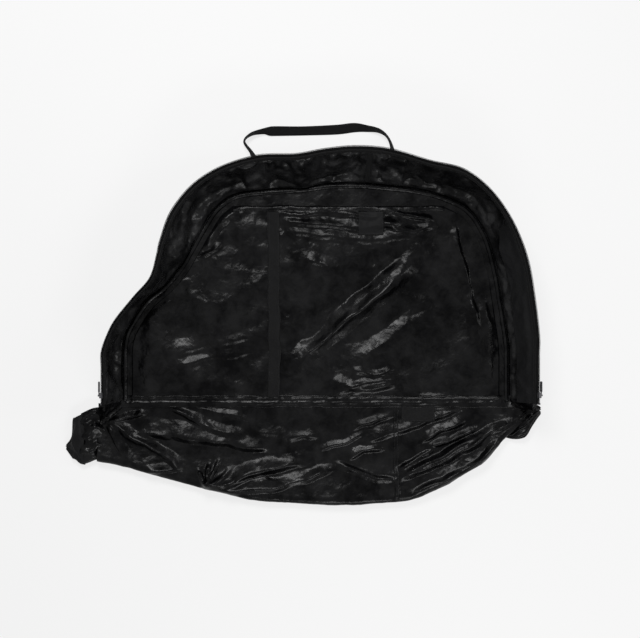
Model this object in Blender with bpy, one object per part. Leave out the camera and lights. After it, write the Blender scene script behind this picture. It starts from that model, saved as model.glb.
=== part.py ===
"""A soft travel bag, unzipped and lying open on its back.

The back half is a tray of cloth with its walls leaning outwards. The base lies flat in front of it,
and the front half is folded under both. X runs along the bag, Y from the base to the handle, Z up.
"""

import math
from collections import namedtuple

import bmesh
import bpy
from mathutils import Vector

# Driving dimensions of the whole bag, in metres
HALF_LENGTH = 0.600
HALF_DEPTH = 0.480
GUSSET_WIDTH = 0.115
CLOTH = 0.0022
TRIM = 0.0010
GAP = 0.0003

# The seam between the back panel and its walls, clockwise from the front left: x as a share of
# HALF_LENGTH, y as a share of HALF_DEPTH, and how far the wall leans outwards there, in degrees
SEAM_SHARES = (
    (-0.772, -0.471, 11),
    (-0.772, -0.350, 11),
    (-0.772, -0.265, 11),
    (-0.772, -0.198, 11),
    (-0.762, -0.115, 7),
    (-0.733, -0.042, 6),
    (-0.673, 0.071, 3),
    (-0.593, 0.156, 8),
    (-0.530, 0.250, 20),
    (-0.490, 0.333, 27),
    (-0.437, 0.448, 33),
    (-0.380, 0.558, 29),
    (-0.292, 0.635, 27),
    (-0.167, 0.658, 34),
    (-0.015, 0.671, 32),
    (0.113, 0.692, 34),
    (0.223, 0.694, 37),
    (0.347, 0.683, 36),
    (0.500, 0.660, 26),
    (0.617, 0.617, 28),
    (0.710, 0.550, 22),
    (0.780, 0.415, 23),
    (0.820, 0.250, 27),
    (0.847, 0.062, 27),
    (0.870, -0.125, 25),
    (0.875, -0.208, 23),
    (0.875, -0.265, 23),
    (0.875, -0.350, 23),
    (0.875, -0.471, 23),
)
SEAM_STEPS = 2
WALL_START = 0.003

# Heights of the stack: the folded front half lies lowest, the back panel over it
GUSSET_FOLD = 0.0022
FLOOR_BOTTOM = 0.0067
FLOOR_TOP = FLOOR_BOTTOM + CLOTH
PIPING_WIDTH = 0.0080
PIPING_PROFILE_SHARES = ((-0.3, 0.0), (0.3, 0.0), (0.5, 0.5), (0.3, 1.0), (-0.3, 1.0), (-0.5, 0.5))
BINDING_WIDTH = 0.012
BINDING_INSET = 0.003

# The zip round the rim
TAPE_LAP = 0.008
TAPE_REACH = 0.008
TAPE_THICK = 0.0012
COIL_WIDTH = 0.0044
COIL_HEIGHT = 0.0026
COIL_SIDES = 6
ZIP_STOP_LENGTH = 0.004
COIL_START = WALL_START + ZIP_STOP_LENGTH + GAP

# The two walls meet at this place along X
JOINT_X_SHARE = 0.270
JOINT_TAPE_WIDTH = 0.014
JOINT_TAPE_FOOT = 0.004

# The smooth flap inside the rim on the right, as shares of the seam's stations
FLAP_FROM_SHARE = 0.74
FLAP_WIDTH = 0.050

# The inner sleeve over the floor, with a mouth at its top edge
POCKET_INSET = 0.028
POCKET_HEIGHT = 0.0090
POCKET_ROOF = 0.0020
POCKET_SKIRT = 0.0022
POCKET_FRONT = 0.014
POCKET_TOP_SHARE = 0.565
POCKET_SPLIT_SHARE = -0.125
POCKET_SPLIT_WALL = 0.0030
MOUTH_BINDING_WIDTH = 0.012
CUT_OVERRUN = 0.020
CENTRE_WEBBING_WIDTH = 0.030
WEBBING_THICK = 0.0014
PATCH_X_SHARES = (0.232, 0.338)
PATCH_HEIGHT = 0.060

# The main folds in the slack cloth: height, half width, and the crest as shares of HALF_LENGTH and
# HALF_DEPTH. Each rises from its ends to its middle.
FOLD_END_SHARE = 0.12
FOLD_CREST_STEPS = 2
FOLD_ROOT = 0.0010
HOLLOW_ROOT = 0.0030
SLEEVE_FOLDS = (
    (0.0140, 0.040, ((-0.037, -0.273), (0.133, -0.083), (0.333, 0.125), (0.500, 0.298))),
    (0.0060, 0.017, ((-0.083, 0.423), (0.050, 0.402), (0.190, 0.396))),
    (0.0060, 0.017, ((0.365, 0.400), (0.480, 0.410), (0.567, 0.375))),
    (0.0080, 0.019, ((-0.437, 0.246), (-0.358, 0.385), (-0.292, 0.490))),
    (0.0070, 0.016, ((0.150, -0.354), (0.275, -0.392), (0.400, -0.381))),
    (0.0070, 0.021, ((0.642, 0.469), (0.667, 0.313), (0.717, 0.125), (0.733, -0.104))),
    (0.0050, 0.023, ((-0.550, -0.217), (-0.383, -0.171), (-0.203, -0.129))),
)
BASE_FOLDS = (
    (0.0100, 0.024, ((0.155, -0.794), (0.260, -0.832), (0.355, -0.862))),
    (0.0100, 0.024, ((0.425, -0.858), (0.550, -0.812), (0.680, -0.720), (0.765, -0.650))),
    (0.0080, 0.021, ((0.437, -0.663), (0.575, -0.633), (0.733, -0.558))),
    (0.0090, 0.021, ((-0.250, -0.802), (-0.100, -0.850), (0.100, -0.829))),
    (0.0090, 0.020, ((-0.720, -0.567), (-0.610, -0.549), (-0.470, -0.545))),
    (0.0110, 0.023, ((-0.645, -0.685), (-0.500, -0.722), (-0.300, -0.740))),
    (0.0070, 0.026, ((-0.333, -0.671), (-0.100, -0.698), (0.117, -0.625))),
    (0.0050, 0.022, ((-0.200, -0.546), (0.000, -0.573), (0.183, -0.546))),
)

# The base, whose far edge turns under in a slack roll: shares of HALF_LENGTH and HALF_DEPTH
FOLD_SHARES = (
    (0.828, -0.650),
    (0.803, -0.692),
    (0.758, -0.754),
    (0.647, -0.842),
    (0.540, -0.917),
    (0.428, -0.963),
    (0.198, -0.983),
    (-0.015, -0.975),
    (-0.197, -0.960),
    (-0.395, -0.904),
    (-0.505, -0.871),
    (-0.675, -0.808),
    (-0.783, -0.773),
)
FOLD_RADIUS = 0.014
FOLD_SIDES = 8
FOLD_STEPS = 2
BASE_RIGHT_SHARE = 0.936
BASE_LEFT_SHARE = -0.868
BASE_SHOULDER_SHARE = -0.615
BASE_SEAM_X_SHARE = 0.392
BASE_SEAM_WIDTH = 0.012
BASE_SEAM_START = 0.010
BASE_SEAM_END = 0.006
BASE_CLIMB = 0.100
BASE_CLIMB_SHARE = 0.7
BASE_CLIMB_TOP_SHARE = 0.4
BASE_LEVEL_SHARES = (-0.77, -0.67)
TAB_X_SHARES = (0.415, 0.555)
TAB_LENGTH = 0.040
TAB_START = 0.008

# The bunched corners at the base's ends
GATHER_RINGS = 5
GATHER_SIDES = 10
GATHER_LEFT_LENGTH = 0.040
GATHER_LEFT_SHARES = (-0.520, -0.795)
GATHER_LEFT_HEIGHT = 0.032
END_PATCH_LENGTH = 0.040
GATHER_RIGHT_LENGTH = 0.0395
GATHER_RIGHT_SHARES = (-0.488, -0.602)
GATHER_RIGHT_HEIGHT = 0.034
GATHER_END_SHARE = 0.55

# The front half, folded under
FRONT_SLIDE = 0.242
FRONT_PANEL_BOTTOM = GUSSET_FOLD + GAP
FRONT_LIMIT_SHARE = -0.590
FRONT_MARGIN = 0.006
FRONT_EDGE_GAP = 0.0008
FRONT_PIPING_RADIUS = 0.0019
FRONT_GUSSET_INSET = 0.003
FRONT_GUSSET_WIDTH = 0.055
FRONT_TAPE_WIDTH = 0.013
FRONT_COIL_HEIGHT = 0.0019

# The carrying handle, sewn to the outer face of the top wall
HANDLE_X_SHARES = (-0.193, 0.370)
HANDLE_SHARE_UP = 0.49
HANDLE_PATCH_WIDTH = 0.040
HANDLE_PATCH_HEIGHT = 0.042
HANDLE_PATCH_THICK = 0.0015
HANDLE_WIDTH = 0.025
HANDLE_STANDOFF = 0.0038
HANDLE_AXIS_INSET = 0.0006
HANDLE_REACH = 0.1097
HANDLE_CLEAR = 0.0004
HANDLE_STEPS = 3
# Along the anchors' line, outwards, upwards, and the webbing's twist in degrees
HANDLE_ROUTE_SHARES = (
    (0.00, 0.00, 1.00, 0),
    (0.00, 0.25, 0.80, 5),
    (-0.03, 0.51, 0.50, 40),
    (-0.08, 0.78, 0.31, 75),
    (-0.03, 0.95, 0.21, 45),
    (0.06, 1.02, 0.08, 10),
    (0.16, 1.02, 0.00, 0),
    (0.36, 1.00, 0.00, 0),
    (0.60, 1.00, 0.00, 0),
    (0.73, 1.03, 0.00, 0),
    (0.82, 1.00, 0.00, 0),
    (0.91, 0.93, 0.13, 20),
    (0.97, 0.77, 0.29, 60),
    (1.00, 0.52, 0.45, 40),
    (1.00, 0.25, 0.80, 5),
    (1.00, 0.00, 1.00, 0),
)

# The zip's sliders and their pulls
SLIDER_LENGTH = 0.013
SLIDER_WALL = 0.0015
SLIDE_CLEAR = 0.0003
SLIDER_START = 0.026
LUG_THICK = 0.0014
LUG_LENGTH = 0.0044
LUG_INSET = 0.0003
KNUCKLE_RADIUS = 0.0017
KNUCKLE_SIDES = 12
PULL_LENGTH = 0.034
PULL_WIDTH = 0.0080
PULL_THICK = 0.0016
PULL_NECK = 0.0075
PULL_NECK_INSET = 0.0003
PULL_CORNER_SHARE = 0.25

# Looks: base colour, roughness and metallic value
GLOSSY_CLOTH = ((0.012, 0.012, 0.013, 1.0), 0.28, 0.0)
MATTE_CLOTH = ((0.022, 0.022, 0.024, 1.0), 0.62, 0.0)
WEBBING_CLOTH = ((0.016, 0.016, 0.017, 1.0), 0.75, 0.0)
ZIP_NYLON = ((0.020, 0.020, 0.021, 1.0), 0.45, 0.0)
ZIP_METAL = ((0.055, 0.055, 0.058, 1.0), 0.35, 0.9)
SMOOTH_ANGLE = math.radians(40)

# Heights up the wall that its layers share
HANDLE_UP = HANDLE_SHARE_UP * GUSSET_WIDTH
PATCH_LOW = HANDLE_UP - HANDLE_PATCH_HEIGHT / 2
PATCH_HIGH = HANDLE_UP + HANDLE_PATCH_HEIGHT / 2
TAPE_LOW = GUSSET_WIDTH - TAPE_LAP
FLAP_LOW = TAPE_LOW - FLAP_WIDTH

# Where the base turns up, and where the front half turns on the base's far edge
BASE_Y = SEAM_SHARES[0][1] * HALF_DEPTH
FOLD_Y = min(y for _, y in FOLD_SHARES) * HALF_DEPTH
FOLD_HEIGHT = FOLD_RADIUS + GAP

UP = Vector((0, 0, 1))
Station = namedtuple("Station", "foot out lean")


def clear_scene():
    for found in list(bpy.data.objects):
        bpy.data.objects.remove(found, do_unlink=True)


def smooth_run(points, steps):
    """Points on a smooth curve through the given ones, with this many steps between each two."""
    rows = [Vector(point) for point in points]
    run = []
    for index in range(len(rows) - 1):
        before = rows[max(index - 1, 0)]
        here, there = rows[index], rows[index + 1]
        after = rows[min(index + 2, len(rows) - 1)]
        for step in range(steps):
            t = step / steps
            bend = 2 * before - 5 * here + 4 * there - after
            twist = 3 * here - before - 3 * there + after
            run.append((2 * here + (there - before) * t + bend * t**2 + twist * t**3) / 2)
    run.append(rows[-1])
    return run


def left_of(points):
    """For each point of a plan curve, the level unit vector to the left of its direction."""
    normals = []
    for index in range(len(points)):
        before = points[max(index - 1, 0)]
        after = points[min(index + 1, len(points) - 1)]
        along = (after - before).normalized()
        normals.append(Vector((-along.y, along.x, 0)))
    return normals


def seam_stations():
    """The stations of the floor seam, each with its foot, its outward direction and its lean."""
    rows = [(x * HALF_LENGTH, y * HALF_DEPTH, math.radians(lean)) for x, y, lean in SEAM_SHARES]
    run = smooth_run(rows, SEAM_STEPS)
    run[0].y = run[-1].y = BASE_Y + WALL_START
    plan = [Vector((row.x, row.y, 0)) for row in run]
    stations = []
    for row, point, out in zip(run, plan, left_of(plan)):
        lift = FLOOR_TOP + GAP + CLOTH * math.sin(row.z)
        stations.append(Station(point + UP * lift, out, row.z))
    return stations


def between(first, second, share):
    """A station part of the way from one to the next."""
    return Station(
        first.foot.lerp(second.foot, share),
        first.out.lerp(second.out, share).normalized(),
        first.lean + (second.lean - first.lean) * share,
    )


def station_at_x(stations, x):
    """The station on the top run of the seam at this x."""
    top = [station for station in stations if station.out.y > 0]
    for first, second in zip(top, top[1:]):
        if first.foot.x <= x <= second.foot.x:
            return between(first, second, (x - first.foot.x) / (second.foot.x - first.foot.x))
    return top[0] if x < top[0].foot.x else top[-1]


def station_at_y(stations, y):
    """The station on a straight side stretch at this y."""
    for first, second in zip(stations, stations[1:]):
        low, high = sorted((first.foot.y, second.foot.y))
        if low <= y <= high:
            return between(first, second, (y - first.foot.y) / (second.foot.y - first.foot.y))
    return stations[0]


def slant(station):
    """The direction up the wall."""
    return station.out * math.sin(station.lean) + UP * math.cos(station.lean)


def face(station):
    """The direction square to the wall, outwards."""
    return station.out * math.cos(station.lean) - UP * math.sin(station.lean)


def on_wall(station, up, off):
    """A point this far up the wall and this far off its inner face."""
    return station.foot + slant(station) * up + face(station) * off


def in_plan(station, outwards, height):
    """A point this far outside the seam, at this height."""
    point = station.foot + station.out * outwards
    return Vector((point.x, point.y, height))


def material(name, look):
    made = bpy.data.materials.get(name) or bpy.data.materials.new(name)
    made.use_nodes = True
    shader = made.node_tree.nodes["Principled BSDF"]
    colour, roughness, metallic = look
    shader.inputs["Base Color"].default_value = colour
    shader.inputs["Roughness"].default_value = roughness
    shader.inputs["Metallic"].default_value = metallic
    return made


def finish(name, mesh, look):
    """An object of this mesh, with its faces turned out and its round stretches shaded smooth."""
    bmesh.ops.recalc_face_normals(mesh, faces=mesh.faces)
    data = bpy.data.meshes.new(name)
    mesh.to_mesh(data)
    mesh.free()
    data.shade_smooth()
    data.set_sharp_from_angle(angle=SMOOTH_ANGLE)
    made = bpy.data.objects.new(name, data)
    made.data.materials.append(material(name + "_finish", look))
    bpy.context.scene.collection.objects.link(made)
    return made


def skin(name, rings, look):
    """A solid through closed rings of points, with a flat cap at both ends.

    Each side is split from its lower point to the next ring's higher one, so that layers which
    share their heights stay parallel.
    """
    mesh = bmesh.new()
    loops = [[mesh.verts.new(point) for point in ring] for ring in rings]
    for loop, following in zip(loops, loops[1:]):
        for index, corner in enumerate(loop):
            other = (index + 1) % len(loop)
            here, there = loop[other], following[other]
            if corner.co.z <= here.co.z:
                mesh.faces.new((corner, here, there))
                mesh.faces.new((corner, there, following[index]))
            else:
                mesh.faces.new((corner, here, following[index]))
                mesh.faces.new((here, there, following[index]))
    mesh.faces.new(list(reversed(loops[0])))
    mesh.faces.new(loops[-1])
    return finish(name, mesh, look)


def prism(name, outline, low, high, look):
    """A flat piece with this outline in plan, between two heights."""
    ring = [Vector((point.x, point.y, low)) for point in outline]
    lifted = [Vector((point.x, point.y, high)) for point in outline]
    return skin(name, [ring, lifted], look)


def wall_strip(name, stations, ups, off, look):
    """A strip of cloth on the wall, with rows at these distances up it, between two off it."""
    rings = []
    for station in stations:
        inner = [on_wall(station, height, off[0]) for height in ups]
        outer = [on_wall(station, height, off[1]) for height in reversed(ups)]
        rings.append(inner + outer)
    return skin(name, rings, look)


def floor_band(name, stations, outwards, heights, look, shift=None):
    """A level band along the seam, between two distances outside it and two heights."""
    shift = shift or Vector((0, 0, 0))
    low, high = heights
    rings = []
    for station in stations:
        first, second = outwards
        ring = [
            in_plan(station, first, low),
            in_plan(station, second, low),
            in_plan(station, second, high),
            in_plan(station, first, high),
        ]
        rings.append([point + shift for point in ring])
    return skin(name, rings, look)


def sewn_on(name, x_range, y_range, surface, thick, look):
    """A level rectangle of trim that lies on a surface at this height."""
    corners = [Vector((x_range[i], y_range[j], 0)) for i, j in ((0, 0), (1, 0), (1, 1), (0, 1))]
    return prism(name, corners, surface + GAP, surface + GAP + thick, look)


def clip(outline, side, limit):
    """The part of an outline where its distance along a direction is at most the limit."""
    kept = []
    for index, here in enumerate(outline):
        before = outline[index - 1]
        inside, was_inside = here.dot(side) <= limit, before.dot(side) <= limit
        if inside != was_inside:
            share = (limit - before.dot(side)) / (here - before).dot(side)
            kept.append(before.lerp(here, share))
        if inside:
            kept.append(here)
    return kept


def crease_rings(height, half, crest, level, root):
    """The rings of a fold in a cloth: a tent along its crest, rooted in a surface of this level."""
    line = smooth_run([(x * HALF_LENGTH, y * HALF_DEPTH, 0) for x, y in crest], FOLD_CREST_STEPS)
    rings = []
    for index, (point, side) in enumerate(zip(line, left_of(line))):
        swell = math.sin(math.pi * index / (len(line) - 1))
        share = FOLD_END_SHARE + (1 - FOLD_END_SHARE) * swell
        feet = [point - side * half * share, point + side * half * share]
        ring = [foot + UP * (level(foot) - root) for foot in feet]
        rings.append(ring + [point + UP * (level(point) + height * share)])
    return rings


def creases(body, folds, level, thick, look):
    """Raises folds in a cloth of this thickness. Gives back the hollows to cut from under them."""
    raised, hollows = [], []
    for number, fold in enumerate(folds):
        rings = crease_rings(*fold, level, FOLD_ROOT)
        raised.append(skin(f"{body.name}_fold_{number}", rings, look))
        rings = crease_rings(*fold, level, HOLLOW_ROOT)
        lowered = [[point - UP * thick for point in ring] for ring in rings[1:-1]]
        hollows.append(skin(f"{body.name}_hollow_{number}", lowered, look))
    join(body, raised)
    return hollows


def join(body, others):
    """Unites helper solids with a body."""
    for other in others:
        other.hide_render = True
        other.display_type = "WIRE"
        modifier = body.modifiers.new("joined_" + other.name, "BOOLEAN")
        modifier.operation = "UNION"
        modifier.object = other


def cut(body, cutters):
    """Takes helper solids out of a body."""
    for cutter in cutters:
        cutter.hide_render = True
        cutter.display_type = "WIRE"
        modifier = body.modifiers.new("cut_" + cutter.name, "BOOLEAN")
        modifier.operation = "DIFFERENCE"
        modifier.object = cutter


def hang_on(name, place, pieces):
    """Parents pieces to an empty on their joint's axis."""
    empty = bpy.data.objects.new(name, None)
    empty.location = place
    bpy.context.scene.collection.objects.link(empty)
    bpy.context.view_layer.update()
    for piece in pieces:
        piece.parent = empty
        piece.matrix_parent_inverse = empty.matrix_world.inverted()
    return empty


def build_floor(stations):
    """The back panel, the piping under its edge and the bound seam on top."""
    outline = [in_plan(station, CLOTH, 0) for station in stations]
    outline += [Vector((outline[end].x, BASE_Y + GAP, 0)) for end in (-1, 0)]
    prism("back_panel", outline, FLOOR_BOTTOM, FLOOR_TOP, MATTE_CLOTH)
    height = FLOOR_BOTTOM - GAP
    profile = [(x * PIPING_WIDTH, z * height) for x, z in PIPING_PROFILE_SHARES]
    rings = [[in_plan(station, out, z) for out, z in profile] for station in stations]
    skin("back_piping", rings, WEBBING_CLOTH)
    inset = (-BINDING_INSET, -BINDING_INSET - BINDING_WIDTH)
    heights = (FLOOR_TOP + GAP, FLOOR_TOP + GAP + TRIM)
    floor_band("floor_seam_binding", stations, inset, heights, WEBBING_CLOTH)


def build_walls(stations):
    """The two lengths of side cloth and the tape over the seam where they meet."""
    joint = JOINT_X_SHARE * HALF_LENGTH
    left_end = station_at_x(stations, joint - GAP / 2)
    right_start = station_at_x(stations, joint + GAP / 2)
    split = next(i for i, s in enumerate(stations) if s.out.y > 0 and s.foot.x > joint)
    left = stations[:split] + [left_end]
    right = [right_start] + stations[split:]
    ups = (0, PATCH_LOW, FLAP_LOW, PATCH_HIGH, TAPE_LOW, GUSSET_WIDTH)
    wall_strip("gusset_left", left, ups, (0, CLOTH), GLOSSY_CLOTH)
    wall_strip("gusset_right", right, ups, (0, CLOTH), GLOSSY_CLOTH)
    sides = (-JOINT_TAPE_WIDTH / 2, JOINT_TAPE_WIDTH / 2)
    crossing = [station_at_x(stations, joint + side) for side in sides]
    ups = (JOINT_TAPE_FOOT, PATCH_LOW, FLAP_LOW, PATCH_HIGH, TAPE_LOW - GAP)
    wall_strip("gusset_joint_tape", crossing, ups, (-GAP - TRIM, -GAP), WEBBING_CLOTH)


def coil_centre():
    """How far up the wall and off its inner face the zip's coil runs."""
    up = GUSSET_WIDTH + TAPE_REACH + GAP + COIL_WIDTH / 2
    return up, CLOTH + GAP + TAPE_THICK / 2


def build_rim(stations):
    """The zip tape and coil, the bound edge inside and the wide flap on the right."""
    ups = (TAPE_LOW, GUSSET_WIDTH, GUSSET_WIDTH + TAPE_REACH)
    off = (CLOTH + GAP, CLOTH + GAP + TAPE_THICK)
    wall_strip("back_zip_tape", stations, ups, off, WEBBING_CLOTH)
    inside = (-GAP - TRIM, -GAP)
    wall_strip("rim_binding", stations, (TAPE_LOW + GAP, GUSSET_WIDTH), inside, WEBBING_CLOTH)
    flap = stations[int(FLAP_FROM_SHARE * len(stations)):]
    wall_strip("storm_flap", flap, (FLAP_LOW, PATCH_HIGH, TAPE_LOW), inside, MATTE_CLOTH)
    centre_up, centre_off = coil_centre()
    coil_run = list(stations)
    coil_run[0] = station_at_y(stations[:2], BASE_Y + COIL_START)
    coil_run[-1] = station_at_y(stations[-2:], BASE_Y + COIL_START)
    rings = []
    for station in coil_run:
        ring = []
        for side in range(COIL_SIDES):
            turn = math.tau * side / COIL_SIDES
            up = centre_up + math.cos(turn) * COIL_WIDTH / 2
            ring.append(on_wall(station, up, centre_off + math.sin(turn) * COIL_HEIGHT / 2))
        rings.append(ring)
    skin("back_zip_coil", rings, ZIP_NYLON)
    up = (centre_up - COIL_WIDTH / 2, centre_up + COIL_WIDTH / 2)
    off = (centre_off - COIL_HEIGHT / 2, centre_off + COIL_HEIGHT / 2)
    for name, place in (("zip_stop_left", stations[0]), ("zip_stop_right", stations[-1])):
        far = place._replace(foot=place.foot + Vector((0, ZIP_STOP_LENGTH, 0)))
        wall_strip(name, [place, far], up, off, ZIP_METAL)


def pocket_outline(stations, inset, front, top):
    """The sleeve's outline at this inset from the seam, cut straight at its front and mouth."""
    outline = [in_plan(station, -inset, 0) for station in stations]
    outline += [Vector((outline[end].x, BASE_Y, 0)) for end in (-1, 0)]
    outline = clip(outline, Vector((0, -1, 0)), -front)
    return clip(outline, Vector((0, 1, 0)), top)


def build_pockets(stations):
    """The inner sleeve with its two pockets, and what is sewn on its roof."""
    low = FLOOR_TOP + GAP
    high = low + POCKET_HEIGHT
    front = BASE_Y + POCKET_FRONT
    top = POCKET_TOP_SHARE * HALF_DEPTH
    outer = pocket_outline(stations, POCKET_INSET, front, top)
    panel = prism("pocket_panel", outer, low, high, GLOSSY_CLOTH)
    hollow = pocket_outline(
        stations, POCKET_INSET + POCKET_SKIRT, front + POCKET_SKIRT, top + CUT_OVERRUN
    )
    split = POCKET_SPLIT_SHARE * HALF_LENGTH
    left = clip(hollow, Vector((1, 0, 0)), split - POCKET_SPLIT_WALL / 2)
    right = clip(hollow, Vector((-1, 0, 0)), -split - POCKET_SPLIT_WALL / 2)
    bottom, roof = low - CUT_OVERRUN, high - POCKET_ROOF
    hollows = creases(panel, SLEEVE_FOLDS, lambda point: high, POCKET_ROOF, GLOSSY_CLOTH)
    cut(panel, [
        prism("pocket_space_left", left, bottom, roof, GLOSSY_CLOTH),
        prism("pocket_space_right", right, bottom, roof, GLOSSY_CLOTH),
        *hollows,
    ])
    mouth = [point.x for point in outer if abs(point.y - top) < GAP]
    edge = top - MOUTH_BINDING_WIDTH
    ends = (min(mouth), max(mouth))
    sewn_on("pocket_edge_binding", ends, (edge, top), high, TRIM, WEBBING_CLOTH)
    half = CENTRE_WEBBING_WIDTH / 2
    ends = (split - half, split + half)
    run = (front, edge - GAP)
    sewn_on("centre_webbing", ends, run, high, WEBBING_THICK, WEBBING_CLOTH)
    ends = [share * HALF_LENGTH for share in PATCH_X_SHARES]
    run = (edge - GAP - PATCH_HEIGHT, edge - GAP)
    sewn_on("blank_patch", ends, run, high, TRIM, MATTE_CLOTH)


def fold_run():
    """The middle line of the slack roll, from the right end to the left."""
    points = [(x * HALF_LENGTH, y * HALF_DEPTH, FOLD_HEIGHT) for x, y in FOLD_SHARES]
    return smooth_run(points, FOLD_STEPS)


def fold_section():
    """The roll's section: how far out from its middle line and how high each corner lies."""
    turns = [math.tau * side / FOLD_SIDES for side in range(FOLD_SIDES)]
    return [(math.cos(t) * FOLD_RADIUS, FOLD_HEIGHT + math.sin(t) * FOLD_RADIUS) for t in turns]


def fold_inner_edge(height, gap):
    """Where flat cloth at this height ends behind the roll, from right to left."""
    corners = fold_section()
    reach = 0
    for (out, low), (other_out, high) in zip(corners, corners[1:] + corners[:1]):
        if min(low, high) <= height <= max(low, high) and low != high:
            reach = max(reach, out + (other_out - out) * (height - low) / (high - low))
    run = fold_run()
    return [point - away * (reach + gap) for point, away in zip(run, left_of(run))]


def gather(name, start, length, y_shares, heights, look):
    """A lump of bunched cloth along X. Its height falls from the first figure to the second."""
    front, back = [share * HALF_DEPTH for share in y_shares]
    middle, half = (front + back) / 2, abs(front - back) / 2
    rings = []
    for step in range(GATHER_RINGS):
        share = step / (GATHER_RINGS - 1)
        height = heights[0] + (heights[1] - heights[0]) * share
        narrow = 1 - (1 - height / max(heights)) * GATHER_END_SHARE
        ring = []
        for side in range(GATHER_SIDES):
            turn = math.tau * side / GATHER_SIDES
            z = height / 2 * (1 + math.sin(turn))
            ring.append(Vector((start + length * share, middle + half * narrow * math.cos(turn), z)))
        rings.append(ring)
    return skin(name, rings, look)


def climb_share(x):
    """How much of the climb to the roll the base makes at this x: none by its left end."""
    low, high = [share * HALF_LENGTH for share in BASE_LEVEL_SHARES]
    return min(max((x - low) / (high - low), 0), 1)


def base_columns():
    """The base's rows across, from right to left: x, y at the top's end, x and y at the
    underside's end, and how far the cloth has climbed there, under the roll's shoulder."""
    left, right = BASE_LEFT_SHARE * HALF_LENGTH, BASE_RIGHT_SHARE * HALF_LENGTH
    shoulder = BASE_SHOULDER_SHARE * HALF_DEPTH
    climb = FOLD_HEIGHT + BASE_CLIMB_TOP_SHARE * FOLD_RADIUS - FLOOR_TOP
    run = fold_run()
    columns = [(right, shoulder, right, shoulder, 0)]
    for index, point in enumerate(run):
        rise = climb * climb_share(point.x)
        following = run[min(index + 1, len(run) - 1)]
        steady = climb_share(following.x) == 1
        ends = []
        for height in (FLOOR_TOP + rise, FLOOR_BOTTOM + rise):
            ends.append(fold_inner_edge(height if steady else FOLD_HEIGHT, GAP)[index])
        columns.append((ends[0].x, ends[0].y, ends[1].x, ends[1].y, rise))
    shoulder = columns[-1][1]
    columns.append((left, shoulder, left, shoulder, 0))
    half = BASE_SEAM_WIDTH / 2
    for x in (BASE_SEAM_X_SHARE * HALF_LENGTH + half, BASE_SEAM_X_SHARE * HALF_LENGTH - half):
        after = next(i for i, column in enumerate(columns) if column[0] < x)
        before, following = columns[after - 1], columns[after]
        share = (x - before[0]) / (following[0] - before[0])
        row = [a + (b - a) * share for a, b in zip(before, following)]
        columns.insert(after, tuple(row))
    return columns


def climb_start(end):
    """Where in front of its end the base starts to climb."""
    return end + min(BASE_CLIMB, BASE_CLIMB_SHARE * (BASE_Y - end))


def base_level(columns):
    """A function for the height of the base's top over a point."""

    def level(point):
        after = next((i for i, row in enumerate(columns) if row[0] < point.x), len(columns) - 1)
        before, following = columns[max(after - 1, 0)], columns[after]
        share = (point.x - before[0]) / (following[0] - before[0]) if before != following else 0
        end, rise = [before[k] + (following[k] - before[k]) * share for k in (1, -1)]
        start = [climb_start(row[1]) for row in (before, following)]
        start = start[0] + (start[1] - start[0]) * share
        climbed = min(max((start - point.y) / (start - end), 0), 1)
        return FLOOR_TOP + rise * climbed

    return level


def base_seam(columns):
    """The binding over the base's cross seam, which follows the base as it climbs."""
    middle = BASE_SEAM_X_SHARE * HALF_LENGTH
    half = BASE_SEAM_WIDTH / 2
    rings = []
    for x, end, _, _, rise in columns:
        if abs(x - middle) > half + GAP:
            continue
        start = climb_start(end)
        stop = end + BASE_SEAM_END
        stop_rise = rise * (start - stop) / (start - end)
        rows = ((BASE_Y - BASE_SEAM_START, 0), (start, 0), (stop, stop_rise))
        bottom = [Vector((x, y, FLOOR_TOP + GAP + up)) for y, up in rows]
        rings.append(bottom + [point + UP * TRIM for point in reversed(bottom)])
    return skin("base_seam_binding", rings, WEBBING_CLOTH)


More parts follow.
